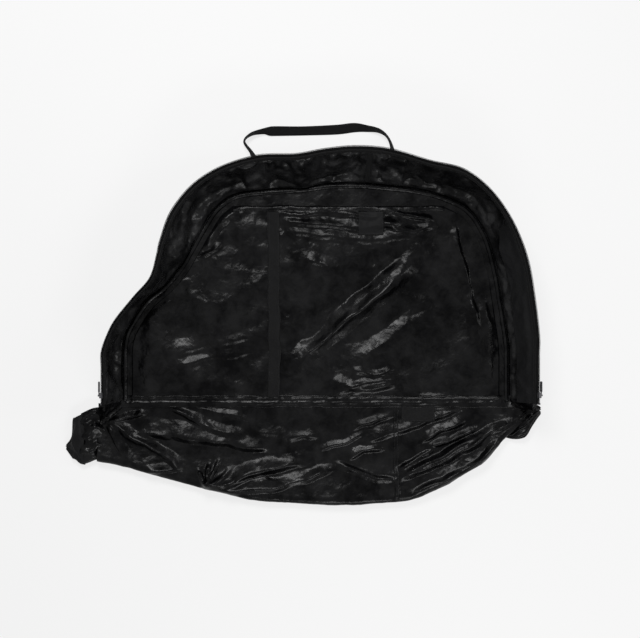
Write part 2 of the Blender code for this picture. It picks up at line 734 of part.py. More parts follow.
def build_base():
    """The base panel with its roll, seam, tab and bunched corners, on the hinge by the tray."""
    left, right = BASE_LEFT_SHARE * HALF_LENGTH, BASE_RIGHT_SHARE * HALF_LENGTH
    columns = base_columns()
    rings = []
    for x, end, under_x, under_y, rise in columns:
        start = climb_start(end)
        rings.append([
            Vector((x, BASE_Y - GAP, FLOOR_BOTTOM)),
            Vector((x, start, FLOOR_BOTTOM)),
            Vector((under_x, under_y, FLOOR_BOTTOM + rise)),
            Vector((x, end, FLOOR_TOP + rise)),
            Vector((x, start, FLOOR_TOP)),
            Vector((x, BASE_Y - GAP, FLOOR_TOP)),
        ])
    panel = skin("base_panel", rings, GLOSSY_CLOTH)
    cut(panel, creases(panel, BASE_FOLDS, base_level(columns), CLOTH, GLOSSY_CLOTH))
    pieces = [panel]
    rings = []
    run = fold_run()
    for point, away in zip(run, left_of(run)):
        level = Vector((point.x, point.y, 0))
        rings.append([level + away * out + UP * height for out, height in fold_section()])
    pieces.append(skin("front_fold", rings, GLOSSY_CLOTH))
    pieces.append(base_seam(columns))
    ends = [share * HALF_LENGTH for share in TAB_X_SHARES]
    run = (BASE_Y - TAB_START - TAB_LENGTH, BASE_Y - TAB_START)
    pieces.append(sewn_on("base_tab", ends, run, FLOOR_TOP, WEBBING_THICK, WEBBING_CLOTH))
    low = GATHER_LEFT_HEIGHT * GATHER_END_SHARE
    start = left - GAP
    pieces.append(gather("corner_gather_left", start, -GATHER_LEFT_LENGTH, GATHER_LEFT_SHARES,
                         (low, GATHER_LEFT_HEIGHT), GLOSSY_CLOTH))
    start -= GATHER_LEFT_LENGTH + GAP
    pieces.append(gather("end_patch_left", start, -END_PATCH_LENGTH, GATHER_LEFT_SHARES,
                         (GATHER_LEFT_HEIGHT, low), MATTE_CLOTH))
    low = GATHER_RIGHT_HEIGHT * GATHER_END_SHARE
    pieces.append(gather("corner_gather_right", right + GAP, GATHER_RIGHT_LENGTH,
                         GATHER_RIGHT_SHARES, (GATHER_RIGHT_HEIGHT, low), GLOSSY_CLOTH))
    return hang_on("base_lift", Vector((0, BASE_Y, FLOOR_TOP)), pieces)


def build_front(stations, base):
    """The front half under the base and tray: panel, piping, and its gusset folded beneath."""
    shift = Vector((0, -FRONT_SLIDE, 0))
    limit = FRONT_LIMIT_SHARE * HALF_DEPTH
    run = [station for station in stations if station.foot.y - FRONT_SLIDE > limit]
    outline = [in_plan(station, 0, 0) + shift for station in run]
    low_x, high_x = outline[0].x + FRONT_MARGIN, outline[-1].x - FRONT_MARGIN
    top = FRONT_PANEL_BOTTOM + CLOTH
    edge = fold_inner_edge(top, FRONT_EDGE_GAP)
    outline += [point for point in edge if low_x < point.x < high_x]
    pieces = [prism("front_panel", outline, FRONT_PANEL_BOTTOM, top, MATTE_CLOTH)]
    middle = (FRONT_PANEL_BOTTOM + top) / 2
    rings = []
    for station in run:
        ring = []
        for side in range(COIL_SIDES):
            turn = math.tau * side / COIL_SIDES
            out = FRONT_PIPING_RADIUS + GAP + math.cos(turn) * FRONT_PIPING_RADIUS
            ring.append(in_plan(station, out, middle + math.sin(turn) * FRONT_PIPING_RADIUS) + shift)
        rings.append(ring)
    pieces.append(skin("front_piping", rings, WEBBING_CLOTH))
    start, end = -FRONT_GUSSET_INSET, -FRONT_GUSSET_INSET - FRONT_GUSSET_WIDTH
    pieces.append(floor_band("front_gusset", run, (start, end), (0, GUSSET_FOLD), GLOSSY_CLOTH, shift))
    start, end = end - GAP, end - GAP - FRONT_TAPE_WIDTH
    pieces.append(
        floor_band("front_zip_tape", run, (start, end), (GAP, GAP + TAPE_THICK), WEBBING_CLOTH, shift)
    )
    centre = end - GAP - COIL_WIDTH / 2
    rings = []
    for station in run:
        ring = []
        for side in range(COIL_SIDES):
            turn = math.tau * side / COIL_SIDES
            out = centre + math.cos(turn) * COIL_WIDTH / 2
            height = GAP / 2 + FRONT_COIL_HEIGHT / 2 * (1 + math.sin(turn))
            ring.append(in_plan(station, out, height) + shift)
        rings.append(ring)
    pieces.append(skin("front_zip_coil", rings, ZIP_NYLON))
    empty = hang_on("front_turn", Vector((0, FOLD_Y, FOLD_HEIGHT)), pieces)
    empty.parent = base
    empty.matrix_parent_inverse = base.matrix_world.inverted()


def handle_anchors(stations):
    """The two ends of the handle's axis, just outside the patches on the top wall."""
    off = CLOTH + GAP + HANDLE_PATCH_THICK + HANDLE_STANDOFF
    places = [station_at_x(stations, share * HALF_LENGTH) for share in HANDLE_X_SHARES]
    return [on_wall(place, HANDLE_UP, off) for place in places]


def build_handle(stations):
    """The webbing handle behind the top wall, lying down, with a patch at each end."""
    ups = (PATCH_LOW, FLAP_LOW, PATCH_HIGH)
    off = (CLOTH + GAP, CLOTH + GAP + HANDLE_PATCH_THICK)
    for name, share in zip(("handle_patch_left", "handle_patch_right"), HANDLE_X_SHARES):
        low_x = share * HALF_LENGTH - HANDLE_PATCH_WIDTH / 2
        high_x = low_x + HANDLE_PATCH_WIDTH
        inside = [s for s in stations if s.out.y > 0 and low_x < s.foot.x < high_x]
        ends = station_at_x(stations, low_x), station_at_x(stations, high_x)
        wall_strip(name, [ends[0], *inside, ends[1]], ups, off, WEBBING_CLOTH)
    first, second = handle_anchors(stations)
    across = second - first
    out = Vector((-across.y, across.x, 0)).normalized()
    floor = HANDLE_CLEAR + WEBBING_THICK / 2
    route = []
    for along, outwards, upwards, roll in HANDLE_ROUTE_SHARES:
        point = first + across * along + out * (outwards * HANDLE_REACH - HANDLE_AXIS_INSET)
        height = floor + (point.z - floor) * upwards
        route.append((point.x, point.y, height, math.radians(roll)))
    run = smooth_run(route, HANDLE_STEPS)
    points = [Vector((row.x, row.y, max(row.z, floor))) for row in run]
    rings = []
    for index, row in enumerate(run):
        before, after = points[max(index - 1, 0)], points[min(index + 1, len(points) - 1)]
        along = (after - before).normalized()
        level = along.cross(UP).normalized()
        width = level * math.cos(row[3]) + level.cross(along) * math.sin(row[3])
        depth = along.cross(width) * WEBBING_THICK / 2
        width = width * HANDLE_WIDTH / 2
        point = points[index]
        rings.append([point - width - depth, point + width - depth,
                      point + width + depth, point - width + depth])
    webbing = skin("handle_webbing", rings, WEBBING_CLOTH)
    hang_on("handle_swing", (first + second) / 2, [webbing])


def build_slider(stations, side):
    """A slider astride the coil on a straight stretch, with its pull lying along the zip."""
    ends = stations[:2] if side == "left" else stations[-2:]
    station = station_at_y(ends, BASE_Y + SLIDER_START)
    centre_up, centre_off = coil_centre()
    centre = on_wall(station, centre_up, centre_off)
    across, away, along = slant(station), face(station), Vector((0, 1, 0))
    inner_up = COIL_WIDTH / 2 + SLIDE_CLEAR
    inner_off = COIL_HEIGHT / 2 + SLIDE_CLEAR
    slot = TAPE_THICK / 2 + SLIDE_CLEAR
    outer_up, outer_off = inner_up + SLIDER_WALL, inner_off + SLIDER_WALL
    profile = (
        (-outer_up, -slot), (-outer_up, -outer_off), (outer_up, -outer_off), (outer_up, outer_off),
        (-outer_up, outer_off), (-outer_up, slot), (-inner_up, slot), (-inner_up, inner_off),
        (inner_up, inner_off), (inner_up, -inner_off), (-inner_up, -inner_off), (-inner_up, -slot),
    )

    def box_rings(corners, length):
        return [
            [centre + across * up + away * off + along * reach for up, off in corners]
            for reach in length
        ]

    half = SLIDER_LENGTH / 2
    body = skin("zip_slider_" + side, box_rings(profile, (-half, half)), ZIP_METAL)
    pin_off = outer_off + GAP + KNUCKLE_RADIUS
    lugs = []
    for number, end in enumerate((-1, 1)):
        near, far = end * (outer_up - LUG_THICK), end * (outer_up - LUG_INSET)
        base, tip = outer_off - SLIDER_WALL / 2, pin_off + KNUCKLE_RADIUS
        corners = ((near, base), (far, base), (far, tip), (near, tip))
        lug_half = LUG_LENGTH / 2
        rings = box_rings(corners, (-lug_half, lug_half))
        lugs.append(skin("lug_" + side + str(number), rings, ZIP_METAL))
    join(body, lugs)
    knuckle_half = outer_up - LUG_THICK - GAP
    pin = centre + away * pin_off
    turns = [math.tau * (step + 1 / 2) / KNUCKLE_SIDES for step in range(KNUCKLE_SIDES)]
    rings = []
    for end in (-knuckle_half, knuckle_half):
        rings.append([
            pin + across * end + (away * math.sin(turn) + along * math.cos(turn)) * KNUCKLE_RADIUS
            for turn in turns
        ])
    pull = skin("zip_pull_" + side, rings, ZIP_METAL)
    corner = PULL_WIDTH * PULL_CORNER_SHARE
    wide, tip, neck = PULL_WIDTH / 2, PULL_LENGTH, knuckle_half - PULL_NECK_INSET
    tongue = (
        (0, -neck), (PULL_NECK, -neck), (PULL_NECK + corner, -wide), (tip - corner, -wide),
        (tip, -wide + corner), (tip, wide - corner), (tip - corner, wide),
        (PULL_NECK + corner, wide), (PULL_NECK, neck), (0, neck),
    )
    rings = [
        [pin + along * reach + across * up + away * off for reach, up in tongue]
        for off in (-PULL_THICK / 2, PULL_THICK / 2)
    ]
    join(pull, [skin("tongue_" + side, rings, ZIP_METAL)])
    slide = hang_on("slide_" + side, centre, [body])
    turn = hang_on("flip_" + side, pin, [pull])
    turn.parent = slide
    turn.matrix_parent_inverse = slide.matrix_world.inverted()


def main():
    clear_scene()
    stations = seam_stations()
    build_floor(stations)
    build_walls(stations)
    build_rim(stations)
    build_pockets(stations)
    base = build_base()
    build_front(stations, base)
    build_handle(stations)
    build_slider(stations, "left")
    build_slider(stations, "right")


main()
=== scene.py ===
# %% [markdown]
# # A soft travel bag, unzipped and lying open
#
# The bag is thin black nylon with a glossy coating inside. It lies on its back: a tray with
# leaning walls, a slack base in front of it that turns under, and a webbing handle behind.
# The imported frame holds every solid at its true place. Here each soft solid is replaced by the
# cloth, tape or webbing that it stands for. The small zip parts are left as they are packed.

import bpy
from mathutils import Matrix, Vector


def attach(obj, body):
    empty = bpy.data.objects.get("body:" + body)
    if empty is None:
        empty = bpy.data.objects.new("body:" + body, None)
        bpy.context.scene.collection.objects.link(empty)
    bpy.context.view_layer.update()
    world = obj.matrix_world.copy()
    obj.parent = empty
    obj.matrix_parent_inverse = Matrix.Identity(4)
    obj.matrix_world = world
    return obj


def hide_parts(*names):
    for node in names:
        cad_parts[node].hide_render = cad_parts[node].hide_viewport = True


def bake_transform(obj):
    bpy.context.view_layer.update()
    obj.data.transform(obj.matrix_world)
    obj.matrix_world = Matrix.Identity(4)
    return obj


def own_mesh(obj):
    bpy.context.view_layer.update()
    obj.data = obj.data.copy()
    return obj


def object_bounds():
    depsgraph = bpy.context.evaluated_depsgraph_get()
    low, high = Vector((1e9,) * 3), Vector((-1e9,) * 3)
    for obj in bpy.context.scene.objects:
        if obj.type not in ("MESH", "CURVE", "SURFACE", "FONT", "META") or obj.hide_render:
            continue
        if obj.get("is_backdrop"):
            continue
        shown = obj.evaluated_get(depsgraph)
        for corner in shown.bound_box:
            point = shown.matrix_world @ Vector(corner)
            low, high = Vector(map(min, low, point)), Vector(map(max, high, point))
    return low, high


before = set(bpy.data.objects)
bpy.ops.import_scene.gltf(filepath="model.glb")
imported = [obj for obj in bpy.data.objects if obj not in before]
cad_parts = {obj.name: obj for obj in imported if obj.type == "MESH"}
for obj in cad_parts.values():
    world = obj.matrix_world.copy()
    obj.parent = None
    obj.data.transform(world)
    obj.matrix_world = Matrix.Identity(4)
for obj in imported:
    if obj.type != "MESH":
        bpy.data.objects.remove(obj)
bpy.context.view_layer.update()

# %% Tools of the trade
import math

import bmesh
import bpy
import numpy as np
from mathutils import Vector, noise
from mathutils.bvhtree import BVHTree

UP = np.array((0.0, 0.0, 1.0))
DEGREE = math.pi / 180
MM = 0.001

# %% [markdown]
# ## The seam that everything hangs on
#
# The floor seam runs round the tray from the front left to the front right. Each row below gives
# a point of it, in shares of the bag's half length and half depth, and how many degrees the wall
# leans outwards there. These are the figures of the solid walls, so cloth that is lofted from
# them lands on its solid with no fitting.

# %% The floor seam
HALF_LENGTH, HALF_DEPTH = 0.600, 0.480
GUSSET_WIDTH, CLOTH, GAP = 0.115, 0.0022, 0.0003
FLOOR_TOP, BASE_Y, WALL_START = 0.0089, -0.22608, 0.003
TAPE_LAP, FLAP_WIDTH = 0.008, 0.050
TAPE_LOW = GUSSET_WIDTH - TAPE_LAP
SEAM_STEP, STEPS_BETWEEN_ROWS = 0.006, 8
SEAM_ROWS = (
    (-0.772, -0.471, 11), (-0.772, -0.350, 11), (-0.772, -0.265, 11), (-0.772, -0.198, 11),
    (-0.762, -0.115, 7), (-0.733, -0.042, 6), (-0.673, 0.071, 3), (-0.593, 0.156, 8),
    (-0.530, 0.250, 20), (-0.490, 0.333, 27), (-0.437, 0.448, 33), (-0.380, 0.558, 29),
    (-0.292, 0.635, 27), (-0.167, 0.658, 34), (-0.015, 0.671, 32), (0.113, 0.692, 34),
    (0.223, 0.694, 37), (0.347, 0.683, 36), (0.500, 0.660, 26), (0.617, 0.617, 28),
    (0.710, 0.550, 22), (0.780, 0.415, 23), (0.820, 0.250, 27), (0.847, 0.062, 27),
    (0.870, -0.125, 25), (0.875, -0.208, 23), (0.875, -0.265, 23), (0.875, -0.350, 23),
    (0.875, -0.471, 23),
)


def smooth_run(rows, steps):
    """Rows on a smooth curve through the given ones."""
    rows = np.array(rows, float)
    run = []
    for i in range(len(rows) - 1):
        a, b, c, d = rows[max(i - 1, 0)], rows[i], rows[i + 1], rows[min(i + 2, len(rows) - 1)]
        for t in np.arange(steps) / steps:
            bend, twist = 2 * a - 5 * b + 4 * c - d, 3 * b - a - 3 * c + d
            run.append((2 * b + (c - a) * t + bend * t**2 + twist * t**3) / 2)
    run.append(rows[-1])
    return np.array(run)


def distance_along(run):
    """How far along a run of points each of them lies."""
    return np.append(0, np.cumsum(np.linalg.norm(np.diff(run, axis=0), axis=1)))


def spaced(run, step):
    """The run again with rows at even steps along it, and how far along each one is."""
    gone = distance_along(run[:, :3])
    at = np.linspace(0, gone[-1], int(round(gone[-1] / step)) + 1)
    return np.stack([np.interp(at, gone, column) for column in run.T], 1), at


def unit(vectors):
    """The vectors at length 1."""
    return vectors / np.linalg.norm(vectors, axis=-1, keepdims=True)


def left_of(points):
    """The level unit vector to the left of a run's direction, at each point."""
    along = unit(np.gradient(points[:, :2], axis=0))
    return np.stack([-along[:, 1], along[:, 0], np.zeros(len(along))], 1)


seam_rows = [(x * HALF_LENGTH, y * HALF_DEPTH, 0, lean * DEGREE) for x, y, lean in SEAM_ROWS]
seam_rows = smooth_run(seam_rows, STEPS_BETWEEN_ROWS)
seam_rows[[0, -1], 1] = BASE_Y + WALL_START
SEAM, SEAM_AT = spaced(seam_rows, SEAM_STEP)
SEAM_LENGTH = SEAM_AT[-1]
SEAM_LEAN = SEAM[:, 3]
SEAM_OUT = left_of(SEAM)
SEAM_FOOT = SEAM[:, :3] + UP * (FLOOR_TOP + GAP + CLOTH * np.sin(SEAM_LEAN))[:, None]
SEAM_SLANT = SEAM_OUT * np.sin(SEAM_LEAN)[:, None] + UP * np.cos(SEAM_LEAN)[:, None]
SEAM_FACE = SEAM_OUT * np.cos(SEAM_LEAN)[:, None] - UP * np.sin(SEAM_LEAN)[:, None]
print("floor seam", round(SEAM_LENGTH, 3), "m long,", len(SEAM), "stations")

# %% [markdown]
# ## Places on the wall
#
# The walls are ruled surfaces: straight lines that start on the floor seam and lean outwards. So
# a place on them needs only three numbers: how far along the seam, how far up the wall, and how
# far off its inner face. Tapes, stitches and the handle's patches are all placed that way.


# %% Places on the wall
FACES_BACK = 0.3


def grid_of(rows, columns):
    """Every pair of a row's and a column's value, as a grid."""
    return np.stack(np.meshgrid(rows, columns, indexing="ij"), -1)


def on_wall(at, up, off):
    """A point so far along the seam, so far up the wall and so far off its inner face."""
    foot, slant, face = [
        np.stack([np.interp(at, SEAM_AT, field[:, k]) for k in range(3)], -1)
        for field in (SEAM_FOOT, SEAM_SLANT, SEAM_FACE)
    ]
    up, off = np.broadcast_to(up, np.shape(at)), np.broadcast_to(off, np.shape(at))
    return foot + slant * up[..., None] + face * off[..., None]


def wall_grid(at, ups, off):
    """Points over a stretch of wall, one row of the grid for each place along it, and their cut."""
    cut = grid_of(at, ups)
    return on_wall(cut[..., 0], cut[..., 1], off), cut


def at_x(x):
    """How far along the seam its top run passes this x."""
    top = SEAM_OUT[:, 1] > FACES_BACK
    return float(np.interp(x, SEAM[top, 0], SEAM_AT[top]))


HANDLE_X = (-0.193 * HALF_LENGTH, 0.370 * HALF_LENGTH)
HANDLE_AT = tuple(at_x(x) for x in HANDLE_X)
print("the handle's ends,", [round(at, 3) for at in HANDLE_AT], "m along the seam")

# %% [markdown]
# ## From rows of points to cloth
#
# Cloth is easiest to control as a grid: rows of points in space, with each point's place in the
# flat cut kept as a UV map in metres. The weave in the materials follows that map, so it stays
# square to the cloth wherever the cloth goes.


# %% Grid pieces
def only(piece):
    """Selects this piece alone and makes it active."""
    for other in bpy.context.selected_objects:
        other.select_set(False)
    piece.select_set(True)
    bpy.context.view_layer.objects.active = piece
    return piece


def apply_modifier(piece, kind, **settings):
    """Adds a modifier to the piece and applies it."""
    modifier = piece.modifiers.new(kind.lower(), kind)
    for key, value in settings.items():
        setattr(modifier, key, value)
    only(piece)
    bpy.ops.object.modifier_apply(modifier=modifier.name)
    return piece


def mesh_piece(name, points, faces, flat=None, *materials):
    """A mesh object from points and faces, with its flat places as a UV map."""
    mesh = bpy.data.meshes.new(name)
    mesh.from_pydata([tuple(p) for p in points], [], [tuple(f) for f in faces])
    if flat is not None:
        layer = mesh.uv_layers.new(name="flat")
        loops = np.zeros(len(mesh.loops), int)
        mesh.loops.foreach_get("vertex_index", loops)
        layer.data.foreach_set("uv", np.asarray(flat)[loops].astype(np.float32).ravel())
    for each in materials:
        mesh.materials.append(each)
    mesh.polygons.foreach_set("use_smooth", np.ones(len(mesh.polygons), bool))
    piece = bpy.data.objects.new(name, mesh)
    bpy.context.scene.collection.objects.link(piece)
    return piece


def grid_piece(name, points, flat, *materials):
    """A sheet from rows of points."""
    rows, columns = points.shape[:2]
    index = np.arange(rows * columns).reshape(rows, columns)
    corners = [index[:-1, :-1], index[1:, :-1], index[1:, 1:], index[:-1, 1:]]
    faces = np.stack(corners, -1).reshape(-1, 4).tolist()
    return mesh_piece(name, points.reshape(-1, 3), faces, flat.reshape(-1, 2), *materials)


def places(piece):
    """The piece's points as an array."""
    found = np.zeros(len(piece.data.vertices) * 3)
    piece.data.vertices.foreach_get("co", found)
    return found.reshape(-1, 3)


def put(piece, points):
    """Gives the piece these points."""
    piece.data.vertices.foreach_set("co", np.asarray(points, np.float32).ravel())
    piece.data.update()


def normals(piece):
    """The piece's normals at its points."""
    found = np.zeros(len(piece.data.vertices) * 3)
    piece.data.vertex_normals.foreach_get("vector", found)
    return found.reshape(-1, 3)


def flat_places(piece):
    """Each point's place in the flat cut, from the UV map."""
    loops = np.zeros(len(piece.data.loops), int)
    piece.data.loops.foreach_get("vertex_index", loops)
    uv = np.zeros(len(piece.data.loops) * 2)
    piece.data.uv_layers["flat"].data.foreach_get("uv", uv)
    found = np.zeros((len(piece.data.vertices), 2))
    found[loops] = uv.reshape(-1, 2)
    return found


def at_ground(plan):
    """Plan points with a height of 0."""
    return np.pad(np.array(plan, float), ((0, 0), (0, 1)))


def dress(piece, body, slot, *replaced, **sheet):
    """Hangs the piece on its body and hides what it stands for; slot and cut are not used."""
    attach(piece, body)
    if replaced:
        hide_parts(*replaced)
    print(piece.name, len(piece.data.polygons), "faces")
    return piece


# %% [markdown]
# ## Large buckles, by simulation
#
# A sheet that was cut a few per cent too large for its frame can't lie flat, and where it buckles
# is hard to draw by hand. Cloth simulation finds it: the sewn edges are pinned, the cloth shrinks
# by a negative share, and the spare length has to go somewhere. Gravity is off, because it would
# only press the cloth flat. It is used where the cloth really hangs free in a frame of seams: on
# the two side walls and the inner sleeve.

# %% Buckling
CLOTH_FRAMES = 22
CLOTH_SETTINGS = {
    "quality": 6, "mass": 0.05, "tension_stiffness": 20, "compression_stiffness": 20,
    "shear_stiffness": 8, "air_damping": 1.0, "vertex_group_mass": "held",
}


def buckle(piece, pinned, slack, bending):
    """Simulates the sheet, cut too large by this share, with the pinned points held."""
    group = piece.vertex_groups.new(name="held")
    group.add(np.flatnonzero(pinned).tolist(), 1.0, "REPLACE")
    modifier = piece.modifiers.new("cloth", "CLOTH")
    for key, value in CLOTH_SETTINGS.items():
        setattr(modifier.settings, key, value)
    modifier.settings.bending_stiffness = bending
    modifier.settings.shrink_min = -slack
    modifier.settings.effector_weights.gravity = 0.0
    modifier.collision_settings.use_collision = False
    modifier.point_cache.frame_start = 1
    modifier.point_cache.frame_end = CLOTH_FRAMES
    for step in range(1, CLOTH_FRAMES + 1):
        bpy.context.scene.frame_set(step)
    only(piece)
    bpy.ops.object.modifier_apply(modifier=modifier.name)
    bpy.context.scene.frame_set(1)
    piece.vertex_groups.clear()
    return piece


def refine(piece, levels):
    """Rounds the sheet by subdivision."""
    return apply_modifier(piece, "SUBSURF", levels=levels, render_levels=levels,
                          boundary_smooth="PRESERVE_CORNERS")


# %% [markdown]
# ## Small crinkles, from a cell pattern
#
# A coated nylon that has been packed small keeps a net of sharp creases with flat facets between
# them. A plain noise is too round for that. The distance to the nearest of many scattered points
# is a little cone round each, and cones meet in sharp ridges, as creases do. Up to three sizes
# of it are laid over each other, and a soft noise bends the ridges so that they don't run
# straight.


# %% Crinkles
CELL_MEAN, CELL_SEED_STEP, SWELL_SEED_STEP = 0.45, 7.31, 3.17


def cells(points, size, seed):
    """For each point, the distance to the nearest cell centre less its mean, in cell sizes."""
    scaled = points / size + seed * CELL_SEED_STEP
    return np.array([noise.voronoi(Vector(p))[0][0] for p in scaled]) - CELL_MEAN


def swell(points, size, seed):
    """A soft noise between about -1 and 1."""
    scaled = points / size + seed * SWELL_SEED_STEP
    return np.array([noise.noise(Vector(p)) for p in scaled])


def crinkle(piece, layers, seed, weight=1.0):
    """Moves the points along their normals by cell patterns: size and height of each."""
    points, facing = places(piece), normals(piece)
    total = np.zeros(len(points))
    for number, (size, height) in enumerate(layers):
        warp = np.stack([swell(points, size * 1.3, seed + k + number * 5) for k in range(3)], 1)
        total += height * cells(points + warp * size * 0.5, size, seed + number)
    put(piece, points + facing * (total * weight)[:, None])
    return piece


# %% [markdown]
# ## Long folds, laid one by one
#
# The folds that give this bag its look lie where its own cloth was pulled, so chance can't place
# them. Each one is drawn as a line in plan, in millimetres, with a height and a width. Its
# section is two nearly flat flanks that meet in a crest, as in stiff thin cloth, and one flank
# may be wider than the other. A little drift keeps the crests from looking ruled.


# %% Folds
CREST_ROUND, FLANK_POWER, END_TAPER, END_HEIGHT = 0.15, 1.3, 5, 0.25
FOLD_DRIFTS = ((0.055, 0, 0.0065), (0.018, 2, 0.0014))
FOLD_UNEVENNESS, UNEVEN_SIZE = 0.7, 0.060


def to_line(points, line):
    """Distance of each point to a polyline in plan, how far along it is, and the side."""
    best = np.full(len(points), 1e9)
    share, side = np.zeros(len(points)), np.ones(len(points))
    line = np.array(line, float) * MM
    steps = np.linalg.norm(np.diff(line, axis=0), axis=1)
    gone = np.concatenate([[0], np.cumsum(steps)])
    for a, b, start, length in zip(line[:-1], line[1:], gone, steps):
        along = (b - a) / length
        rel = points[:, :2] - a
        t = np.clip(rel @ along, 0, length)
        away = rel - t[:, None] * along
        distance = np.linalg.norm(away, axis=1)
        nearer = distance < best
        best[nearer] = distance[nearer]
        share[nearer] = (start + t[nearer]) / gone[-1]
        cross = along[0] * rel[:, 1] - along[1] * rel[:, 0]
        side[nearer] = np.sign(cross[nearer])
    return best, share, side


def fold(points, line, height, width, skew):
    """The height of a fold over each point: two flat flanks that meet in a crest on the line."""
    distance, share, side = to_line(points, line)
    taper = np.clip(np.minimum(share, 1 - share) * END_TAPER, 0, 1)
    taper = END_HEIGHT + (1 - END_HEIGHT) * np.sin(taper * np.pi / 2)
    wide = width * MM * (1 + skew * side)
    reach = np.sqrt((distance / wide) ** 2 + CREST_ROUND**2) - CREST_ROUND
    return height * MM * taper * np.clip(1 - reach, 0, 1) ** FLANK_POWER


def folds(points, rows, seed):
    """The height of all these folds, which wander a little and rise and sink on their way."""
    drift = sum(far * np.stack([swell(points, size, seed + step + k) for k in range(2)], 1)
                for size, step, far in FOLD_DRIFTS)
    moved = points + at_ground(drift)
    uneven = 1 + FOLD_UNEVENNESS * swell(points, UNEVEN_SIZE, seed + 6)
    return sum(fold(moved, *row) for row in rows) * uneven


def thicken(piece, thick=0.0006, offset=-1.0, lining=0):
    """Gives the sheet its thickness. The far side takes another of its materials."""
    return apply_modifier(piece, "SOLIDIFY", thickness=thick, offset=offset,
                          use_even_offset=False, material_offset=lining,
                          material_offset_rim=lining)


def ease(value, low, high):
    """0 below low, 1 above high, and smooth between."""
    t = np.clip((value - low) / (high - low), 0, 1)
    return t * t * (3 - 2 * t)


# %% [markdown]
# ## Finishes
#
# Nothing on the bag is one flat black. Each finish below is built from noises and waves, so it
# needs no picture. Colours vary between two near greys, a bump map adds what is too fine to
# model, and the gloss changes over the cloth. These helpers make one node each.


# %% Material helpers
def new_finish(name, roughness, **sockets):
    """A material with its shader, and values that are the same all over set on its sockets."""
    made = bpy.data.materials.new(name)
    made.use_nodes = True
    shader = made.node_tree.nodes["Principled BSDF"]
    shader.inputs["Roughness"].default_value = roughness
    for key, value in sockets.items():
        shader.inputs[key.replace("_", " ")].default_value = value
    return made, made.node_tree, shader


def node(tree, kind, inputs=None, **settings):
    """A node with its settings, and inputs that are linked or given a value."""
    made = tree.nodes.new(kind)
    for key, value in settings.items():
        setattr(made, key, value)
    for key, value in (inputs or {}).items():
        socket = made.inputs[key]
        if isinstance(value, bpy.types.NodeSocket):
            tree.links.new(value, socket)
        else:
            socket.default_value = value
    return made


def place_on(tree, source="Object"):
    """Where a point lies: in the object, in metres, or in the flat cut."""
    if source == "Object":
        return node(tree, "ShaderNodeTexCoord").outputs["Object"]
    return node(tree, "ShaderNodeUVMap", uv_map="flat").outputs["UV"]


def speckle(tree, place, scale, detail=3.0, rough=0.5, kind="FBM"):
    """A noise's value."""
    return node(tree, "ShaderNodeTexNoise", {"Vector": place, "Scale": scale, "Detail": detail,
                                             "Roughness": rough}, noise_type=kind).outputs["Fac"]


def ribs(tree, place, scale, direction):
    """Rounded ribs across one direction of the flat cut."""
    return node(tree, "ShaderNodeTexWave", {"Vector": place, "Scale": scale, "Distortion": 0.0},
                wave_type="BANDS", bands_direction=direction, wave_profile="SIN").outputs["Fac"]


def raised(tree, height, distance, strength=1.0, under=None):
    """A bump of this height in metres, over another one."""
    inputs = {"Height": height, "Distance": distance, "Strength": strength}
    if under is not None:
        inputs["Normal"] = under
    return node(tree, "ShaderNodeBump", inputs).outputs["Normal"]


def span(tree, value, low, high, start=0.0, end=1.0):
    """The value mapped to another range."""
    return node(tree, "ShaderNodeMapRange", {"Value": value, "From Min": start, "From Max": end,
                                             "To Min": low, "To Max": high}).outputs["Result"]


def tones(tree, value, dark, pale):
    """A colour between two greys."""
    mix = node(tree, "ShaderNodeMix", {"Factor": value}, data_type="RGBA")
    mix.inputs["A"].default_value = (*dark, 1)
    mix.inputs["B"].default_value = (*pale, 1)
    return mix.outputs["Result"]


# %% [markdown]
# ## The coated side of the nylon
#
# The coating is smooth where it is whole and dull where it has been rubbed, so its gloss comes
# and goes in patches. The same noise drives the strength of the reflection and, a little, the
# colour. The walls' lining gets a paler pair of greys, which is painted light: it is the same
# cloth, made lighter because the leaning walls catch too little of the lamps.


# %% Glossy nylon
def make_glossy_nylon(name, dark, pale):
    """Coated nylon: crinkles of two sizes, a faint weave, and gloss that changes in patches."""
    made, tree, shader = new_finish(name, 0.34)
    place = place_on(tree)
    warp = node(tree, "ShaderNodeTexNoise", {"Vector": place, "Scale": 30.0, "Detail": 2.0})
    moved = node(tree, "ShaderNodeMix", {"Factor": 0.028, "A": place, "B": warp.outputs["Color"]},
                 data_type="VECTOR").outputs["Result"]
    net = node(tree, "ShaderNodeTexVoronoi", {"Vector": moved, "Scale": 62.0, "Detail": 1.0},
               feature="F1").outputs["Distance"]
    fine = speckle(tree, moved, 140.0, 4.0, 0.6, "RIDGED_MULTIFRACTAL")
    flat = place_on(tree, "UV")
    weave = node(tree, "ShaderNodeMath", {0: ribs(tree, flat, 220.0, "X"),
                                          1: ribs(tree, flat, 220.0, "Y")}, operation="ADD")
    over = raised(tree, speckle(tree, place, 42.0, 2.0), 0.0024, 0.8)
    over = raised(tree, net, 0.0009, 0.4, over)
    over = raised(tree, fine, 0.00014, 0.35, over)
    over = raised(tree, weave.outputs["Value"], 0.00003, 0.5, over)
    tree.links.new(over, shader.inputs["Normal"])
    patches = speckle(tree, place, 22.0, 4.0, 0.6)
    tree.links.new(span(tree, patches, 0.16, 0.34, 0.3, 0.7), shader.inputs["Roughness"])
    worn = speckle(tree, moved, 17.0, 5.0, 0.66)
    tree.links.new(span(tree, worn, 0.050, 0.142, 0.34, 0.66), shader.inputs["Specular IOR Level"])
    colour = tones(tree, span(tree, worn, 0.0, 1.0, 0.40, 0.60), dark, pale)
    tree.links.new(colour, shader.inputs["Base Color"])
    return made


# %% [markdown]
# ## The outer side of the nylon
#
# Outside, the cloth shows its plain weave and hardly shines. Two waves across each other make
# the weave from the flat cut's own map, and soft noises give it the creases of use.


